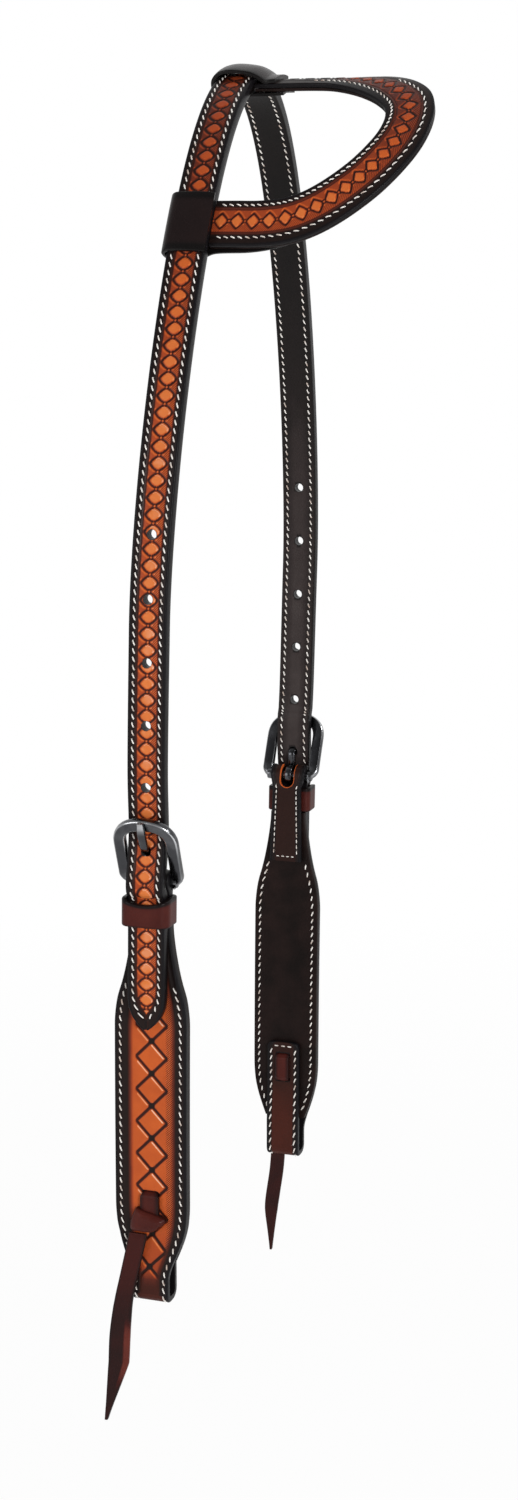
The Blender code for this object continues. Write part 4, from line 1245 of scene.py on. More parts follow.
# Loops round the strap at the ear band's two ends
POLL_LOOP_NEAR_EDGE_SHARE = 0.56
LOOP_LINE_STEPS = 8
LOOP_COLUMNS = 14
LOOP_EDGE = 0.0005
LOOP_STAIN = 0.5


class BentLine:
    """A flat line with the directions square to it, followed by its own length."""

    def __init__(self, line):
        self.line = line
        self.square = offsets(line)
        self.length = lengths(line)
        self.end = self.length[-1]

    def at(self, along):
        """The point at a length along the line, and the direction square to the line there."""
        along = min(self.end, max(0.0, along))
        i = min(len(self.line) - 2, max(0, bisect.bisect_right(self.length, along) - 1))
        share = (along - self.length[i]) / (self.length[i + 1] - self.length[i])
        point = [mix(p, q, share) for p, q in zip(self.line[i], self.line[i + 1])]
        return point, self.square[i].lerp(self.square[i + 1], share)


class EarPath(BentLine):
    """The ear band's centre line on the arch, as (run, forward)."""

    def __init__(self):
        self.edge = CROWN_WIDTH / 2 + LAYER_GAP
        knots = [(EAR_RUN, self.edge)]
        knots += [(EAR_RUN * run, EAR_REACH * forward) for run, forward in EAR_LINE_SHARES]
        knots += [(EAR_RUN * EAR_POLL_RUN_SHARE, self.edge)]
        super().__init__(smooth_through(knots, EAR_LINE_STEPS))
        for i in (0, -1):
            self.square[i] = Vector((1.0 if self.square[i][0] > 0 else -1.0, 0.0))

    def place(self, along, across, off):
        (run, forward), square = self.at(along)
        forward = max(self.edge, forward + square[1] * across)
        return crown_place(RIGHT, run + square[0] * across, -forward, off)


def ear_inner_row(along, end):
    """The inner stitch row, which turns away from the edge where the band rolls towards the poll."""
    inset = mix(EAR_INNER_STITCH, EAR_INNER_STITCH_AT_POLL, over_shares(EAR_ROLL, end, along))
    return EAR_WIDTH / 2 - inset


def ear_look_to(end):
    def look(along, across, half):
        inner = ear_inner_row(along, end)
        rows = (inner, -half + EAR_OUTER_STITCH)
        turn = over_shares(EAR_ROLL, end, along)
        middle = EAR_MIDDLE - turn * (EAR_INNER_STITCH_AT_POLL - EAR_INNER_STITCH)
        press, level, hatch = stamped_row(along, across - middle, EAR_DIAMOND_WIDE, EAR_DIAMOND_POWER)
        # Darker all over, and painted shade deepening towards the poll
        level *= mix(EAR_SHADE, POLL_SHADE, over_shares(EAR_DARKENS, end, along))
        press, level, hatch = framed(
            across, half, EAR_FIELD, middle, (press, level, hatch), rows, BROWN)
        dark = smooth(end - EAR_POLL_DARK - EAR_POLL_DARK_FADE, end - EAR_POLL_DARK, along)
        if across > inner:
            level = mix(level, BLACK, turn)
        return press, mix(level, DARK, dark), hatch * EAR_HATCH_SHARE
    return look


def make_ear():
    path = EarPath()
    end = path.end
    seam = -EAR_OVERLAY
    foot = seam - LAYER_GAP - EAR_LINING

    def half_of(along):
        return EAR_WIDTH / 2

    def turned(along, across, off):
        return path.place(along, across, -off)

    def inner_row(along):
        return ear_inner_row(along, end)

    def outer_row(along):
        return EAR_OUTER_STITCH - EAR_WIDTH / 2

    strap("ear_tooled_layer", steps_between(0.0, end, FINE_STEP), half_of, path.place, seam, 0.0,
          EAR_COLUMNS, ear_look_to(end), TOOLED, "crown", ("ear_overlay",))
    strap("ear_plain_layer", steps_between(0.0, end, COARSE_STEP), half_of, turned, -seam + LAYER_GAP,
          -foot, EAR_LINING_COLUMNS, lining_look, DARK_PLAIN, "crown", ("ear_lining",))
    runs = []
    last = end - EAR_POLL_DARK + EAR_STITCH_PAST_DARK
    for row, stop in ((inner_row, last), (outer_row, end * EAR_OUTER_ROW_END_SHARE)):
        runs.append((EAR_STITCH_START, stop, row, path.place, -STITCH_SUNK, EAR_STITCH_SLANT,
                     EAR_STITCH_SIZE))
        runs.append((EAR_STITCH_START, last, row, turned, -foot - STITCH_SUNK, -EAR_STITCH_SLANT,
                     EAR_STITCH_SIZE))
    stitches("ear_stitching", runs, "crown")
    ear_loop("ear_lower_keeper", LOWER_LOOP_SHARES, LOWER_LOOP_RISE, LOWER_LOOP_WIDTH, "ear_lower_loop")
    near_edge = [
        (across, off, start, min(end, POLL_LOOP_NEAR_EDGE_SHARE))
        for across, off, start, end in POLL_LOOP_SHARES
    ]
    ear_loop("ear_poll_keeper", near_edge, POLL_LOOP_RISE, POLL_LOOP_WIDTH, "ear_poll_loop")


def ear_loop(name, shares, rise, width, node):
    """A plain loop of leather round the strap, with burnished rounded edges."""
    knots = [
        (across * CROWN_WIDTH / 2, off * rise, start * width, end * width)
        for across, off, start, end in shares
    ]
    rows = smooth_through(knots, LOOP_LINE_STEPS)
    points = []
    stain_and_painted_light = []
    for (across, off, start, end), square in zip(rows, offsets([row[:2] for row in rows])):
        middle = (start + end) / 2
        section = strap_section(
            (end - start) / 2, -LOOP_LEATHER / 2, LOOP_LEATHER / 2, LOOP_COLUMNS, LOOP_EDGE)
        for i, (run, thick) in enumerate(section):
            points.append(crown_place(
                RIGHT, middle + run, across + square[0] * thick, off + square[1] * thick))
            stain_and_painted_light.append(LOOP_STAIN if 1 < i < LOOP_COLUMNS - 1 else BLACK)
    piece(name, points, ring_faces(len(rows), len(section)), LOOP_FINISH, "crown", (node,), stain_and_painted_light=stain_and_painted_light)


# Cheek pieces

WRAP_STEPS = 24
CHEEK_COLUMNS = 88
CHEEK_LINING_COLUMNS = 30
OUTLINE_EASE = 0.001

# The panel is at its full width where the cheek is, and narrows from a little over the neck's width
PANEL_OVER_NECK = 0.001

# Stitches: where rows start and end, and their sizes beside the usual stitch
SHOULDER_ROW_SHARE = 0.45
FACE_STITCH_SIZE = 1.03
TAB_ROW_START = 0.003
TAB_ROW_PAST_END = 0.002
TAB_STITCH_SIZE = 0.72
TAB_END_ROW = 0.0022
TAB_END_ROW_SHORTER = 0.001
TAB_END_STITCH_SIZE = 0.75
LINING_ROW_START = 0.0225
LINING_ROW_SHORT_OF_FOOT = 0.003
FOOT_STITCH_SIZE = 0.95

# The slot's raw edge: its section as (towards the slot, proud of the face), and how far its legs run
SLOT_EDGE = (
    (-0.00010, 0.00008), (0.00012, 0.00008), (0.00022, -0.00008), (0.00022, -0.0012),
    (-0.00010, -0.0012),
)
SLOT_EDGE_LEG = 0.0085
SLOT_LEG_STEPS = 10
SLOT_ROUND_STEPS = 16


def cheek_rows():
    """The face leather's line as (off, height), and its part: top tab, fold, face, loop or foot tab."""
    flare = -BAR_DROP - KEEPER_BELOW_BAR
    rows = [(TAB_MIDDLE, -BAR_DROP - TOP_TAB_BELOW_BAR, "tab"), (TAB_MIDDLE, flare, "fold")]
    for i in range(WRAP_STEPS + 1):
        turn = math.pi - math.pi * i / WRAP_STEPS
        off = BAR_MIDDLE + WRAP_RADIUS * math.cos(turn)
        rows.append((off, -BAR_DROP + WRAP_RADIUS * math.sin(turn), "fold"))
    rows.append((FACE_MIDDLE, flare, "face"))
    rows.append((FACE_MIDDLE, -FOOT + BIT_LOOP_SWELL_START, "face"))
    front = FACE_MIDDLE + BIT_LOOP_SWELL_FRONT
    back = TAB_MIDDLE - BIT_LOOP_SWELL_BACK
    bottom = -FOOT + OVERLAY / 2
    swell_end = -FOOT + BIT_LOOP_SWELL_END
    rows.append((front, swell_end, "face"))
    for corner, a, b in (
        ((front, bottom), (front, swell_end), (back, bottom)),
        ((back, bottom), (front, bottom), (back, swell_end)),
    ):
        rows += [(off, height, "loop") for off, height in corner_arc(a, corner, b, BIT_LOOP_CORNER)]
    rows.append((back, swell_end, "foot"))
    rows.append((TAB_MIDDLE, -FOOT + BIT_LOOP_SWELL_START, "foot"))
    rows.append((TAB_MIDDLE, -FOOT + FOOT_TAB_LENGTH, "foot"))
    return rows


def eased_body_width(height_at, along):
    """Half the cheek's width, with the corners of its outline eased over a few millimetres."""
    return sum(body_half_width(height_at(along + OUTLINE_EASE * k)) for k in NEARBY) / len(NEARBY)


class CheekPath(BentLine):
    """The face leather's line on one side, followed from the top tab's end."""

    def __init__(self, side):
        rows = cheek_rows()
        super().__init__([(off, height) for off, height, _ in rows])
        self.side = side
        part = [name for _, _, name in rows]
        self.tab_end, self.wrap_start = self.length[1:3]
        self.face_start = self.length[part.index("face")]
        self.loop_start = self.length[part.index("loop")]
        self.foot_start = self.length[part.index("foot")]

    def place(self, along, across, off):
        (out, height), square = self.at(along)
        return cheek_place(self.side, out + square[0] * off, across, height + square[1] * off)

    def height(self, along):
        return self.at(along)[0][1]

    def on_face(self, along):
        return self.face_start < along < self.loop_start

    def half(self, along):
        """Half the leather's width."""
        if self.on_face(along):
            return eased_body_width(self.height, along)
        if along < self.tab_end:
            return mix(TOP_TAB_WIDTH / 2, TOP_TAB_WAIST / 2, along / self.tab_end)
        if along <= self.face_start:
            folded = (along - self.tab_end) / (self.wrap_start - self.tab_end)
            return mix(TOP_TAB_WAIST / 2, NECK_WIDTH / 2, min(1.0, folded))
        if along < self.foot_start:
            return FOOT_NECK_WIDTH / 2
        past_loop = min(1.0, (along - self.foot_start) / BIT_LOOP_SWELL_END)
        half = mix(FOOT_NECK_WIDTH / 2, FOOT_TAB_WIDTH / 2, past_loop)
        from_end = self.end - along
        if from_end < FOOT_TAB_ROUND:
            half -= FOOT_TAB_ROUND * (1 - math.sqrt(1 - (1 - from_end / FOOT_TAB_ROUND) ** 2))
        return half

    def panel_width_share(self, along, half):
        """How near the cheek is to its full width, which widens the panel's border with it."""
        if not self.on_face(along):
            return 0.0
        return smooth(NECK_WIDTH / 2 + PANEL_OVER_NECK, CHEEK_WIDTH / 2, half)

    def stitch_inset(self, along, half):
        return mix(TAB_STITCH_INSET, PANEL_STITCH_INSET, self.panel_width_share(along, half))


def stamped_panel(along, across, field):
    """Large diamonds, tip to tip, cut by pressed lines with a dot at each crossing."""
    down = ((along / PANEL_PITCH) % 1.0 - 0.5) * PANEL_PITCH
    tall = PANEL_PITCH / 2
    square = 1 / math.hypot(1 / PANEL_WIDE, 1 / tall)
    out = (abs(across) / PANEL_WIDE + abs(down) / tall - 1) * square
    near = abs(out)
    wall = 1 - smooth(*PANEL_WALL, near)
    if abs(across) > PANEL_WIDE:
        wall *= 1 - smooth(PANEL_WIDE, PANEL_WIDE + PANEL_LINE_ENDS, abs(across))
    press = -PRESS * wall
    level = mix(PANEL_STAIN, PRESSED, wall)
    # Painted highlights along the edges that face the light: inside a diamond above a crossing, outside below
    facing_light = across < 0 if down < 0 else across > 0
    if abs(across) < PANEL_HIGHLIGHT_HALF_WIDTH and facing_light:
        painted_light = band(*PANEL_PAINTED_HIGHLIGHT, near)
        if out < 0 and down < 0:
            level = mix(level, PALE, PANEL_HIGHLIGHT_INSIDE * painted_light)
        if out > 0 and down > 0:
            level = mix(level, PALE, PANEL_HIGHLIGHT_OUTSIDE * painted_light)
    if out < 0:
        level += PANEL_DIAMOND_LIFT
    dot = math.hypot(tall - abs(down), across)
    if dot < PANEL_DOT_ROOM:
        inside = 1 - smooth(*PANEL_DOT_EDGE, dot)
        press = mix(press, -PANEL_DOT_PRESS, inside)
        level = mix(level, DARK, inside)
    hatch = 0.0
    if across < 0:
        hatch = band(*PANEL_HATCH_START, field - PANEL_LINE_ENDS, field, -across)
        level -= PANEL_HATCH_DARKENS * hatch
    return press, level, hatch


def panel_look(path, along, across, half):
    """The stamped panel of the cheek's face, darker at its border and towards its foot."""
    wide = path.panel_width_share(along, half)
    field = half - mix(PANEL_NECK_BORDER, PANEL_BORDER, wide)
    from_middle = across - PANEL_MIDDLE * wide
    press, level, hatch = stamped_panel(along - path.face_start - PANEL_START, from_middle, field)
    above_foot = path.loop_start - along
    inside = field - abs(from_middle)
    press *= smooth(*PANEL_FLAT_TO_PRESSED, above_foot)
    level = mix(PANEL_SIDE_STAIN, level, mix(PANEL_SIDE_LEAST, 1.0, smooth(*PANEL_SHADE, inside)))
    level *= mix(PANEL_FOOT_LEAST, 1.0, smooth(*PANEL_FOOT_SHADE, above_foot))
    level = mix(PANEL_FOOT_STAIN, level, smooth(*PANEL_FOOT_FADE, above_foot))
    if inside < 0:
        past = smooth(0.0, PANEL_BORDER_DARKENS, -inside)
        return -PANEL_BORDER_DEPTH * (1 - past), mix(min(level, BROWN), DARK, past), 0.0
    return press, level, hatch


def cheek_look_on(path):
    def look(along, across, half):
        if path.on_face(along):
            press, level, hatch = panel_look(path, along, across, half)
        else:
            tone = FOLD_STAIN
            if along > path.face_start:
                down_tab = smooth(path.foot_start, path.foot_start + FOOT_TAB_SHADE, along)
                tone = mix(*FOOT_TAB_STAINS, down_tab)
            level = mix(tone, DARK, over_shares(TAB_SIDE_DARKENS, half, abs(across)))
            press = hatch = 0.0
        row = half - path.stitch_inset(along, half)
        for sign in (1, -1):
            groove = groove_at(abs(across - sign * row), CHEEK_GROOVE_REACH)
            press = min(press, -GROOVE_DEPTH * groove)
            level = mix(level, DARK / 2, groove * GROOVE_STAIN_SHARE)
        return press, mix(level, BLACK, edge_dye(half, across, CHEEK_EDGE_DYE)), hatch
    return look


def cut_slits(targets, side):
    """The tongue's slot over the bar, and the two slits of the tie."""
    foot = -BAR_DROP - TONGUE_SLOT_BELOW_BAR
    top = -BAR_DROP + WRAP_RADIUS + OVERLAY + CUT_OVERRUN
    outlines = [round_slot(TONGUE_SLOT_WIDTH, foot, top)]
    wide = SLIT_WIDTH / 2
    tall = SLIT_HEIGHT / 2
    for i in range(2):
        middle = -FOOT + UPPER_SLIT_ABOVE_FOOT - i * SLIT_PITCH
        low, high = middle - tall, middle + tall
        corners = [(-wide, low), (wide, low), (wide, high), (-wide, high)]
        outlines.append(rounded(corners, SLIT_CORNER, closed=True))
    points = []
    faces = []
    for outline in outlines:
        add_prism(points, faces, side, outline, TAB_MIDDLE - BIT_LOOP_SWELL_BACK - CUT_OVERRUN,
                  STRAP_OVER_BAR + CUT_OVERRUN)
    cut(targets, points, faces)


def make_cheek(label, side):
    """The tooled face, folded at both ends, the lining behind it, and their stitches."""
    path = CheekPath(side)
    body = label + "_cheek"
    stations = steps_between(0.0, path.face_start, TAB_STEP)
    stations += steps_between(path.face_start, path.foot_start, PANEL_STEP)[1:]
    stations += steps_between(path.foot_start, path.end - TAB_ROUND_RUN, LINING_STEP)[1:]
    stations += steps_between(path.end - TAB_ROUND_RUN, path.end, TAB_ROUND_STEP)[1:]
    face = strap(label + "_cheek_tooled", stations, path.half, path.place, -OVERLAY / 2, OVERLAY / 2,
                 CHEEK_COLUMNS, cheek_look_on(path), TOOLED, body, (label + "_cheek_face",))
    middle = HALF_GAP + CHEEK_LINING / 2
    top = -BAR_DROP - KEEPER_BELOW_BAR - KEEPER_HEIGHT - LAYER_GAP
    lining_end = top + FOOT - LINING_ABOVE_FOOT

    def lining_place(along, across, off):
        return cheek_place(side, -middle - off, across, top - along)

    def lining_half(along):
        return eased_body_width(lambda place: top - place, along)

    def lining_row_look(along, across, half):
        groove = groove_at(abs(abs(across) - (half - PANEL_STITCH_INSET)))
        return -CHEEK_LINING_GROOVE_DEPTH * groove, DARK, 0.0

    lining = strap(label + "_cheek_plain", steps_between(0.0, lining_end, LINING_STEP), lining_half,
                   lining_place, SEWN_GAP - LAYER_GAP - CHEEK_LINING / 2, CHEEK_LINING / 2,
                   CHEEK_LINING_COLUMNS, lining_row_look, DARK_PLAIN, body, (label + "_cheek_lining",))
    cut_slits((face, lining), side)

    def tab_end_place(along, across, off):
        return path.place(TAB_END_ROW + across, along, off)

    def foot_end_place(along, across, off):
        return path.place(path.end - TAB_STITCH_INSET - across, along, off)

    def straight(along):
        return 0.0

    runs = []
    face_off = OVERLAY / 2 - STITCH_SUNK
    lining_off = CHEEK_LINING / 2 - STITCH_SUNK
    shoulder = path.face_start + NECK_BELOW_BAR + SHOULDER_LENGTH * SHOULDER_ROW_SHARE
    for sign in (1, -1):
        def row(along, sign=sign):
            half = path.half(along)
            return sign * (half - path.stitch_inset(along, half))

        def lining_row(along, sign=sign):
            return sign * (lining_half(along) - PANEL_STITCH_INSET)

        runs.append((shoulder, path.end - FOOT_TAB_ROUND, row, path.place, face_off, STITCH_SLANT,
                     FACE_STITCH_SIZE))
        runs.append((TAB_ROW_START, path.tab_end + TAB_ROW_PAST_END, row, path.place, face_off, 0.0,
                     TAB_STITCH_SIZE))
        runs.append((LINING_ROW_START, lining_end - LINING_ROW_SHORT_OF_FOOT, lining_row, lining_place,
                     lining_off, -STITCH_SLANT, 1.0))
    reach = FOOT_TAB_WIDTH / 2 - FOOT_TAB_ROUND
    runs.append((-reach, reach, straight, foot_end_place, face_off, 0.0, FOOT_STITCH_SIZE))
    reach = TOP_TAB_WIDTH / 2 - TAB_STITCH_INSET - TAB_END_ROW_SHORTER
    runs.append((-reach, reach, straight, tab_end_place, face_off, 0.0, TAB_END_STITCH_SIZE))
    stitches(label + "_cheek_stitching", runs, body)
    make_slot_edge(label, path)


def make_slot_edge(label, path):
    """The raw orange edge of the slot that the tongue comes through, down one side and up the other."""
    radius = TONGUE_SLOT_WIDTH / 2
    middle = path.tab_end + KEEPER_BELOW_BAR - TONGUE_SLOT_BELOW_BAR + radius
    leg = [SLOT_EDGE_LEG * i / SLOT_LEG_STEPS for i in range(1, SLOT_LEG_STEPS + 1)]
    line = [(middle + run, radius, (0.0, -1.0)) for run in reversed(leg)]
    for i in range(SLOT_ROUND_STEPS + 1):
        turn = math.pi * i / SLOT_ROUND_STEPS
        across, along = radius * math.cos(turn), -radius * math.sin(turn)
        line.append((middle + along, across, (-along / radius, -across / radius)))
    line += [(middle + run, -radius, (0.0, 1.0)) for run in leg]
    points = []
    for along, across, (inward_along, inward_across) in line:
        for inward, proud in SLOT_EDGE:
            points.append(path.place(
                along + inward_along * inward, across + inward_across * inward, OVERLAY / 2 + proud))
    piece(label + "_slot_raw_edge", points, ring_faces(len(line), len(SLOT_EDGE)), TOOLED,
          label + "_cheek", stain_and_painted_light=[ORANGE] * len(points), laid=[(0.0, 0.0, 0.0)] * len(points),
          sharp=SHARP_SMALL)


# Keeper

KEEPER_RIM = 0.0021
KEEPER_TOP_RIM = (KEEPER_RIM * 0.5, KEEPER_RIM)
KEEPER_FOOT_RIM = (KEEPER_RIM * 0.1, KEEPER_RIM * 0.35)
KEEPER_SAG = 0.0022
KEEPER_SAG_SLACK = 0.0004
KEEPER_COLUMNS = 16
KEEPER_STAIN = 0.62
THONG_EDGE = 0.0006


def make_keeper(label, side):
    """The fixed keeper: a band with burnished black rims, a little swollen between them."""
    half_wide = NECK_WIDTH / 2 + KEEPER_SIDE_SLACK + KEEPER_LEATHER / 2
    half_tall = KEEPER_HEIGHT / 2
    middle = -BAR_DROP - KEEPER_BELOW_BAR - half_tall
    back = -HALF_GAP - KEEPER_LEATHER / 2
    slack = KEEPER_FRONT_SLACK + KEEPER_SAG_SLACK
    front = TAIL_MIDDLE + CROWN / 2 + LAYER_GAP + slack + KEEPER_LEATHER / 2
    corners = [(-half_wide, back), (half_wide, back), (half_wide, front), (-half_wide, front)]
    radii = (KEEPER_BACK_CORNER, KEEPER_BACK_CORNER, KEEPER_CORNER, KEEPER_CORNER)
    line = dense(rounded(corners, radii, closed=True), KEEPER_STEP, closed=True)
    section = strap_section(
        half_tall, -KEEPER_LEATHER / 2, KEEPER_LEATHER / 2, KEEPER_COLUMNS, THONG_EDGE)
    points = []
    stain_and_painted_light = []
    for (across, off), square in zip(line, offsets(line, closed=True)):
        sag = KEEPER_SAG * smooth(back, front, off) * (1 - (across / half_wide) ** 2)
        for i, (height, thick) in enumerate(section):
            points.append(cheek_place(
                side, off - square[1] * thick, across - square[0] * thick,
                middle + height * (1 - sag / KEEPER_HEIGHT) - sag / 2))
            inner = 0.0
            if i <= KEEPER_COLUMNS:
                inner = smooth(*KEEPER_TOP_RIM, half_tall - height)
                inner *= smooth(*KEEPER_FOOT_RIM, height + half_tall)
            stain_and_painted_light.append(KEEPER_STAIN * inner)
    return piece(label + "_fixed_keeper", points, ring_faces(len(line), len(section), closed=True),
                 RUSSET, label + "_cheek", (label + "_keeper",), stain_and_painted_light=stain_and_painted_light)


# Buckle

FRAME_CORNER_STEPS = 3
FRAME_SHOULDER_POWER = 0.82
FRAME_BAR_STEPS = 6
FRAME_ARM_STEPS = 5
FRAME_ARC_STEPS = 48
FRAME_BEND_STEPS = 8

# The frame's steel: the level of its flats, the painted highlights on its edges, and how much painted
# highlight its top and its foot add
FRAME_TOP = (0.45, 0.8)
FRAME_FOOT = (0.8, 2.2)
FRAME_FLAT_STAIN = 0.30
FRAME_EDGE_HIGHLIGHTS = (0.62, 0.85)
FRAME_TOP_HIGHLIGHT = 0.10
FRAME_FOOT_HIGHLIGHT = 0.15
BAR_EDGE_SHARE = 0.98

# The collar at each end of the bar, as (place along the bar, radius), in shares
COLLAR_RINGS = ((0.72, 1.0), (0.74, 1.28), (0.80, 1.34), (0.90, 1.34), (0.96, 1.28), (0.98, 1.0))
COLLAR_SIDES = 24
COLLAR_STAIN = 0.5

# The tongue's last steps, over which it narrows, and over which a painted highlight comes up at its tip
TONGUE_CORNER_STEPS = 2
TONGUE_NARROWS = (8, 1)
TONGUE_HIGHLIGHT_STEPS = (9, 3)
TONGUE_NARROWER = 0.25
TONGUE_STAIN = 0.32
TONGUE_TIP_HIGHLIGHT = 0.55
# A painted highlight along one edge of the tongue
TONGUE_EDGE = (0.3, 0.5)
TONGUE_EDGE_HIGHLIGHT = 0.25


def frame_line():
    """Half a turn of the frame's middle from the bar's middle, then its mirror: (across, along, flat)."""
    half = (FRAME_WIDTH - RIM_WIDTH) / 2
    spring = FRAME_REACH - FRAME_RISE
    line = [(half * i / FRAME_BAR_STEPS, 0.0, 0.0) for i in range(FRAME_BAR_STEPS)]
    for i in range(FRAME_BEND_STEPS + 1):
        turn = math.pi / 2 * i / FRAME_BEND_STEPS
        across = half - FRAME_CORNER + FRAME_CORNER * math.sin(turn)
        along = FRAME_CORNER - FRAME_CORNER * math.cos(turn)
        line.append((across, along, min(1.0, along / FRAME_CORNER)))
    line += [
        (half, mix(FRAME_CORNER, spring, i / FRAME_ARM_STEPS), 1.0) for i in range(1, FRAME_ARM_STEPS)
    ]
    side_rows = line[1:]
    for i in range(FRAME_ARC_STEPS + 1):
        turn = math.pi * i / FRAME_ARC_STEPS
        across = half * math.copysign(abs(math.cos(turn)) ** FRAME_SHOULDER_POWER, math.cos(turn))
        line.append((across, spring + FRAME_RISE * math.sin(turn) ** FRAME_SHOULDER_POWER, 1.0))
    return line + [(-across, along, flat) for across, along, flat in reversed(side_rows)]


def make_frame(label, side):
    """The horseshoe frame with soft polished corners, and a collar where each arm meets the bar."""
    line = frame_line()
    points = []
    stain_and_painted_light = []
    for (across, along, flat), square in zip(line, offsets([row[:2] for row in line], closed=True)):
        wide = mix(BAR_RADIUS, RIM_WIDTH / 2, flat)
        thick = mix(BAR_RADIUS, RIM_THICKNESS / 2, flat)
        edge = mix(BAR_RADIUS * BAR_EDGE_SHARE, RIM_CHAMFER, flat)
        top = over_shares(FRAME_TOP, FRAME_REACH, along)
        low = 1 - over_shares(FRAME_FOOT, FRAME_CORNER, along)
        for k, (w, proud) in enumerate(soft_corners(wide, thick, edge, FRAME_CORNER_STEPS)):
            points.append(frame_place(side, along + square[1] * w, across + square[0] * w, proud))
            on_edge = 0 < k % (FRAME_CORNER_STEPS + 1) < FRAME_CORNER_STEPS
            # Painted highlights on the edges, and added ones at the top and the foot
            level = mix(*FRAME_EDGE_HIGHLIGHTS, top) if on_edge else FRAME_FLAT_STAIN
            stain_and_painted_light.append(level + FRAME_TOP_HIGHLIGHT * top + FRAME_FOOT_HIGHLIGHT * low)
    piece(label + "_horseshoe_frame", points,
          ring_faces(len(line), 4 * (FRAME_CORNER_STEPS + 1), closed=True), STEEL, label + "_buckle",
          (label + "_buckle_frame",), stain_and_painted_light=stain_and_painted_light, sharp=SHARP_SMALL)
    make_collars(label, side, (FRAME_WIDTH - RIM_WIDTH) / 2)


def make_collars(label, side, half):
    points = []
    faces = []
    for sign in (1, -1):
        faces += ring_faces(len(COLLAR_RINGS), COLLAR_SIDES, base=len(points))
        for share, fat in COLLAR_RINGS:
            for k in range(COLLAR_SIDES):
                turn = 2 * math.pi * k / COLLAR_SIDES
                radius = BAR_RADIUS * fat
                points.append(frame_place(
                    side, radius * math.cos(turn), sign * half * share, radius * math.sin(turn)))
    piece(label + "_bar_collars", points, faces, STEEL, label + "_buckle",
          stain_and_painted_light=[COLLAR_STAIN] * len(points), sharp=SHARP_SMALL)


def make_tongue(label, side):
    line = dense(tongue_line(), THONG_STEP)
    total = len(line)
    points = []
    stain_and_painted_light = []
    for n, ((off, height), square) in enumerate(zip(line, offsets(line))):
        # Painted highlights at the tip and along one edge
        narrowed, brightened = (
            smooth(total - first, total - last, n) for first, last in (TONGUE_NARROWS, TONGUE_HIGHLIGHT_STEPS))
        tip = 1.0 - TONGUE_NARROWER * narrowed
        bright = TONGUE_STAIN + TONGUE_TIP_HIGHLIGHT * brightened
        section = soft_corners(
            TONGUE_WIDTH / 2 * tip, TONGUE_THICKNESS / 2 * tip, TONGUE_CHAMFER, TONGUE_CORNER_STEPS)
        for w, thick in section:
            points.append(cheek_place(side, off + square[0] * thick, w, height + square[1] * thick))
            stain_and_painted_light.append(bright + TONGUE_EDGE_HIGHLIGHT * over_shares(TONGUE_EDGE, TONGUE_WIDTH, w))
    piece(label + "_steel_tongue", points, ring_faces(total, len(section)), STEEL, label + "_tongue",
          (label + "_buckle_tongue",), stain_and_painted_light=stain_and_painted_light, sharp=SHARP_SMALL)


# Tie

THONG_COLUMNS = 10
RING_STAIN = 0.64
RING_EDGE_STAIN = 0.30
RING_WIDENS = 0.001
RING_EDGE = (0.45, 0.98)
KNOT_STAIN = 0.66
KNOT_SIDE_STEPS = 5
KNOT_EASE_ROUNDS = 2

# The knot's rings, as shares of its rise and of its outline
KNOT_RINGS = ((0.0, 1.0), (0.35, 1.02), (0.62, 0.97), (0.84, 0.86), (0.97, 0.62), (1.0, 0.3))
TAIL_ROWS = 90
TAIL_EASE_SHARE = 0.025
TAIL_EASED_WIDTH = 0.6
TAIL_TOP_THIN = 0.55
TAIL_TOP_TUCK = 0.0007
TAIL_BACK_STAIN = 0.4
TAIL_STAINS = (0.56, 0.25)
TAIL_EDGE = (0.75, 1.0)

# On the right tail: where it darkens, and a long paler stretch down one edge
TAIL_DARKENS = (0.12, 0.45)
TAIL_DARKER = 0.4
TAIL_PALE_STRETCH = (0.42, 0.52, 0.72, 0.85)
TAIL_PALE_FROM_MIDDLE = 0.45
TAIL_PALE_STAIN = 0.85


def make_knot(label, side):
    """The tie's ring through both slits, and the wrapped knot over its lower front."""
    low = HALF_GAP + OVERLAY + LAYER_GAP
    front = low + TIE_THICKNESS / 2
    back = TAB_MIDDLE - OVERLAY / 2 - LAYER_GAP - TIE_THICKNESS / 2
    upper = -FOOT + UPPER_SLIT_ABOVE_FOOT
    lower = upper - SLIT_PITCH
    corners = [(front, upper), (front, lower), (back, lower), (back, upper)]
    line = dense(rounded(corners, TIE_BEND, closed=True), THONG_STEP, closed=True)
    points = []
    stain_and_painted_light = []
    for (off, height), square in zip(line, offsets(line, closed=True)):
        half = mix(TIE_WAIST / 2, TIE_WIDTH / 2, smooth(front - RING_WIDENS, front, off))
        section = strap_section(half, -TIE_THICKNESS / 2, TIE_THICKNESS / 2, THONG_COLUMNS, THONG_EDGE)
        for across, thick in section:
            points.append(cheek_place(side, off + square[0] * thick, across, height + square[1] * thick))
            stain_and_painted_light.append(mix(RING_STAIN, RING_EDGE_STAIN, over_shares(RING_EDGE, half, abs(across))))
    faces = ring_faces(len(line), len(section), closed=True)
    outline = knot_outline()
    faces += ring_faces(len(KNOT_RINGS), len(outline), base=len(points))
    for rise, share in KNOT_RINGS:
        for across, up in outline:
            height = tie_knot_middle() + share * up * KNOT_HEIGHT
            points.append(cheek_place(side, low + KNOT_RISE * rise, share * across * KNOT_WIDTH, height))
            stain_and_painted_light.append(RING_EDGE_STAIN if share > 1.0 else KNOT_STAIN)
    piece(label + "_wrapped_knot", points, faces, RUSSET, label + "_cheek", (label + "_bit_tie_knot",),
          stain_and_painted_light=stain_and_painted_light, sharp=SHARP_SMALL)


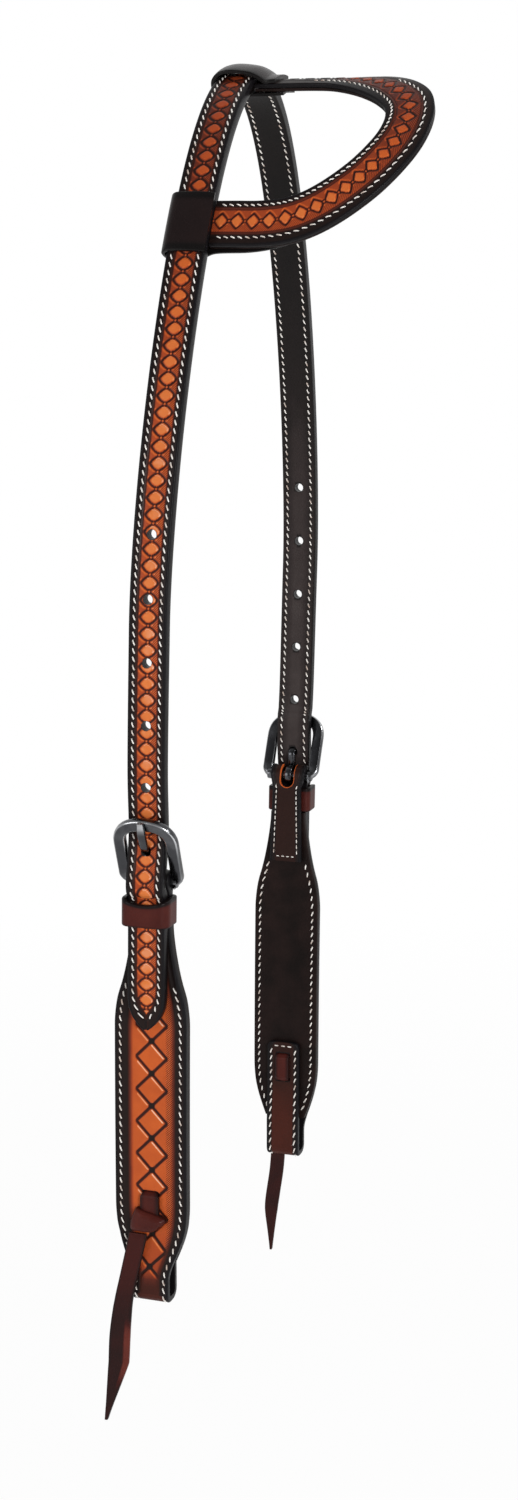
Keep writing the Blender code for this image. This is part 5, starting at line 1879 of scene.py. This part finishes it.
def knot_outline():
    """The knot's outline in shares, with each side cut into short lengths and its corners eased."""
    line = []
    for a, b in zip(KNOT_SHARES, KNOT_SHARES[1:] + KNOT_SHARES[:1]):
        steps = [i / KNOT_SIDE_STEPS for i in range(KNOT_SIDE_STEPS)]
        line += [(mix(a[0], b[0], t), mix(a[1], b[1], t)) for t in steps]
    for _ in range(KNOT_EASE_ROUNDS):
        line = [
            tuple((line[i - 1][k] + 2 * line[i][k] + line[(i + 1) % len(line)][k]) / 4 for k in (0, 1))
            for i in range(len(line))
        ]
    return line


def tail_stain(side, place, across, half, upper_face):
    """The thong's colour: dark edges, and on the right a long paler stretch down one edge."""
    level = TAIL_BACK_STAIN
    if upper_face:
        level = mix(*TAIL_STAINS, over_shares(TAIL_EDGE, half, abs(across)))
    if side == RIGHT:
        level *= 1 - TAIL_DARKER * smooth(*TAIL_DARKENS, place)
        if across < -half * TAIL_PALE_FROM_MIDDLE:
            level = mix(level, TAIL_PALE_STAIN, band(*TAIL_PALE_STRETCH, place))
    return level


def make_tail(label, side, width, length, lean, tip_back, lean_shares, taper_shares):
    """The tie's free end, a flat thong that turns a little on its way down."""
    off, top = tie_hinge()
    tables = (TAIL_PATH_SHARES, lean_shares, taper_shares)
    knots = sorted({place for table in tables for place, _ in table})
    path_table, lean_table, taper_table = (
        [(place, share_of(table, place)) for place in knots] for table in tables)

    def eased(table, place):
        nearby = [min(1.0, max(0.0, place + TAIL_EASE_SHARE * k)) for k in NEARBY]
        return sum(share_of(table, p) for p in nearby) / len(NEARBY)

    points = []
    stain_and_painted_light = []
    for r in range(TAIL_ROWS + 1):
        place = r / TAIL_ROWS
        middle = off + TAIL_SWELL * eased(path_table, place)
        half = width / 2 * mix(eased(taper_table, place), share_of(taper_shares, place), TAIL_EASED_WIDTH)
        back = TAIL_START_BACK + lean * eased(lean_table, place)
        if place > TAIL_TIP_SHARE:
            back += tip_back * (place - TAIL_TIP_SHARE) / (1 - TAIL_TIP_SHARE)
        thick = TIE_THICKNESS / 2 * (TAIL_TOP_THIN if r == 0 else 1.0)
        tuck = TAIL_TOP_TUCK if r == 0 else 0.0
        edge = min(THONG_EDGE, half / 3)
        section = strap_section(half, -thick, thick, THONG_COLUMNS, edge, edge)
        for across, proud in section:
            points.append(cheek_place(side, middle + proud, back + across, top + tuck - length * place))
            stain_and_painted_light.append(tail_stain(side, place, across, half, proud > 0))
    piece(label + "_tie_thong", points, ring_faces(TAIL_ROWS + 1, len(section)), RUSSET, label + "_tie",
          (label + "_bit_tie_tail",), stain_and_painted_light=stain_and_painted_light, sharp=SHARP_SMALL)


# Stage

BEHIND = (0.949, 0.316, 0.0)
BEHIND_SPAN = (-0.35, 0.45)
ROOM_FRONT = 0.22
ROOM_BACK = 0.85
FLOOR_BELOW = 0.12
FLOOR_REACH = 6.0
FLOOR_GREY = (0.9, 0.9, 0.9, 1.0)
FLOOR_FADE_SHARES = (0.02, 0.22)
FLOOR_WHITE_NEAR = 0.85
LAMP_AIM = (0.0, 0.0, -0.27)
LAMPS = (
    ("key", (-1.35, -1.05, 0.1), 0.5, 15.0),
    ("fill", (-1.3, 0.9, 0.0), 0.9, 6.0),
    ("edge", (0.25, -1.5, 0.9), 0.4, 9.0),
)

# The photograph's camera, fitted to the strap's known widths and hole pitch
CAMERA_PLACE = (-0.95567, -0.32423, -0.06452)
CAMERA_LOOKS = (0.92740, 0.30935, -0.21030)
CAMERA_SENSOR = 36.0
CAMERA_CLIP = (0.05, 20.0)
FOCAL_PX = 2346.9
PHOTO_TALL_PX = 1500


def show(name, data):
    """An object in the scene for a camera, a lamp or a mesh."""
    made = bpy.data.objects.new(name, data)
    bpy.context.scene.collection.objects.link(made)
    return made


def look_camera():
    away = Vector(CAMERA_LOOKS).normalized()
    right = Vector((away.y, -away.x, 0.0)).normalized()
    up = right.cross(away)
    data = bpy.data.cameras.new("camera")
    data.sensor_fit = "VERTICAL"
    data.sensor_height = CAMERA_SENSOR
    data.lens = FOCAL_PX * CAMERA_SENSOR / PHOTO_TALL_PX
    data.clip_start, data.clip_end = CAMERA_CLIP
    camera = show("camera", data)
    turn = Matrix((right, up, -away)).transposed().to_4x4()
    camera.matrix_world = Matrix.Translation(CAMERA_PLACE) @ turn
    bpy.context.scene.camera = camera


def seen_or_lit(tree, seen, lit, amount, output):
    """Shows one shader to the camera's own rays, by an amount, and the other to all light."""
    choose = add_node(tree, "ShaderNodeMixShader")
    tree.links.new(amount, choose.inputs["Fac"])
    tree.links.new(lit, choose.inputs[1])
    tree.links.new(seen, choose.inputs[2])
    tree.links.new(choose.outputs["Shader"], tree.nodes[output].inputs["Surface"])


def make_floor():
    """A pale floor that fades to pure white away from the object's shadow."""
    level = CAD_BOX[0][2] - FLOOR_BELOW
    mesh = bpy.data.meshes.new("floor")
    corners = ((-1, -1), (1, -1), (1, 1), (-1, 1))
    mesh.from_pydata([(FLOOR_REACH * x, FLOOR_REACH * y, level) for x, y in corners], [], [(0, 1, 2, 3)])
    finish, tree, shader = new_material("floor_finish")
    shader.inputs["Base Color"].default_value = FLOOR_GREY
    shader.inputs["Roughness"].default_value = 1.0
    shader.inputs["Specular IOR Level"].default_value = 0.0
    white = add_node(tree, "ShaderNodeEmission", Color=WHITE, Strength=1.0)
    place = add_node(tree, "ShaderNodeTexCoord")
    distance = add_node(tree, "ShaderNodeVectorMath", operation="LENGTH")
    tree.links.new(place.outputs["Object"], distance.inputs[0])
    fade_start, fade_end = (FLOOR_REACH * share for share in FLOOR_FADE_SHARES)
    far = map_range(tree, distance.outputs["Value"], FLOOR_WHITE_NEAR, 1.0, fade_start, fade_end)
    by_camera = add_node(tree, "ShaderNodeLightPath").outputs["Is Camera Ray"]
    seen_or_lit(tree, white.outputs["Emission"], shader.outputs["BSDF"],
                maths(tree, "MULTIPLY", far, by_camera), "Material Output")
    mesh.materials.append(finish)
    floor = show("floor", mesh)


def make_lamps():
    for name, place, size, watts in LAMPS:
        data = bpy.data.lights.new(name, "AREA")
        data.shape = "DISK"
        data.size = size
        data.energy = watts
        made = show(name, data)
        made.location = place
        made.rotation_mode = "QUATERNION"
        made.rotation_quaternion = (Vector(LAMP_AIM) - Vector(place)).to_track_quat("-Z", "Y")


def make_room():
    """White where it is seen, and for the object a studio that is dimmer on the picture's side."""
    studio = bpy.data.worlds.new("studio")
    studio.use_nodes = True
    tree = studio.node_tree
    direction = add_node(tree, "ShaderNodeTexCoord")
    behind = add_node(tree, "ShaderNodeVectorMath", operation="DOT_PRODUCT")
    tree.links.new(direction.outputs["Generated"], behind.inputs[0])
    behind.inputs[1].default_value = BEHIND
    share = map_range(tree, behind.outputs["Value"], 0.0, 1.0, *BEHIND_SPAN)
    room = tree.nodes["Background"]
    room.inputs["Color"].default_value = WHITE
    tree.links.new(map_range(tree, share, ROOM_FRONT, ROOM_BACK), room.inputs["Strength"])
    seen = add_node(tree, "ShaderNodeBackground", Color=WHITE, Strength=1.0)
    by_camera = add_node(tree, "ShaderNodeLightPath").outputs["Is Camera Ray"]
    seen_or_lit(tree, seen.outputs["Background"], room.outputs["Background"], by_camera, "World Output")
    bpy.context.scene.world = studio


def main():
    look_camera()
    make_crown()
    make_ear()
    tails = {
        "right": (RIGHT_TIE_WIDTH, RIGHT_TIE_TAIL, RIGHT_TIE_LEAN, RIGHT_TIE_TIP_BACK,
                  RIGHT_LEAN_SHARES, RIGHT_TAPER_SHARES),
        "left": (LEFT_TIE_WIDTH, LEFT_TIE_TAIL, LEFT_TIE_LEAN, LEFT_TIE_TIP_BACK,
                 LEFT_LEAN_SHARES, LEFT_TAPER_SHARES),
    }
    for label, side in (("right", RIGHT), ("left", LEFT)):
        make_cheek(label, side)
        make_keeper(label, side)
        make_frame(label, side)
        make_tongue(label, side)
        make_knot(label, side)
        make_tail(label, side, *tails[label])
    make_room()
    make_lamps()
    make_floor()
    bpy.context.scene.view_settings.view_transform = "Standard"


main()
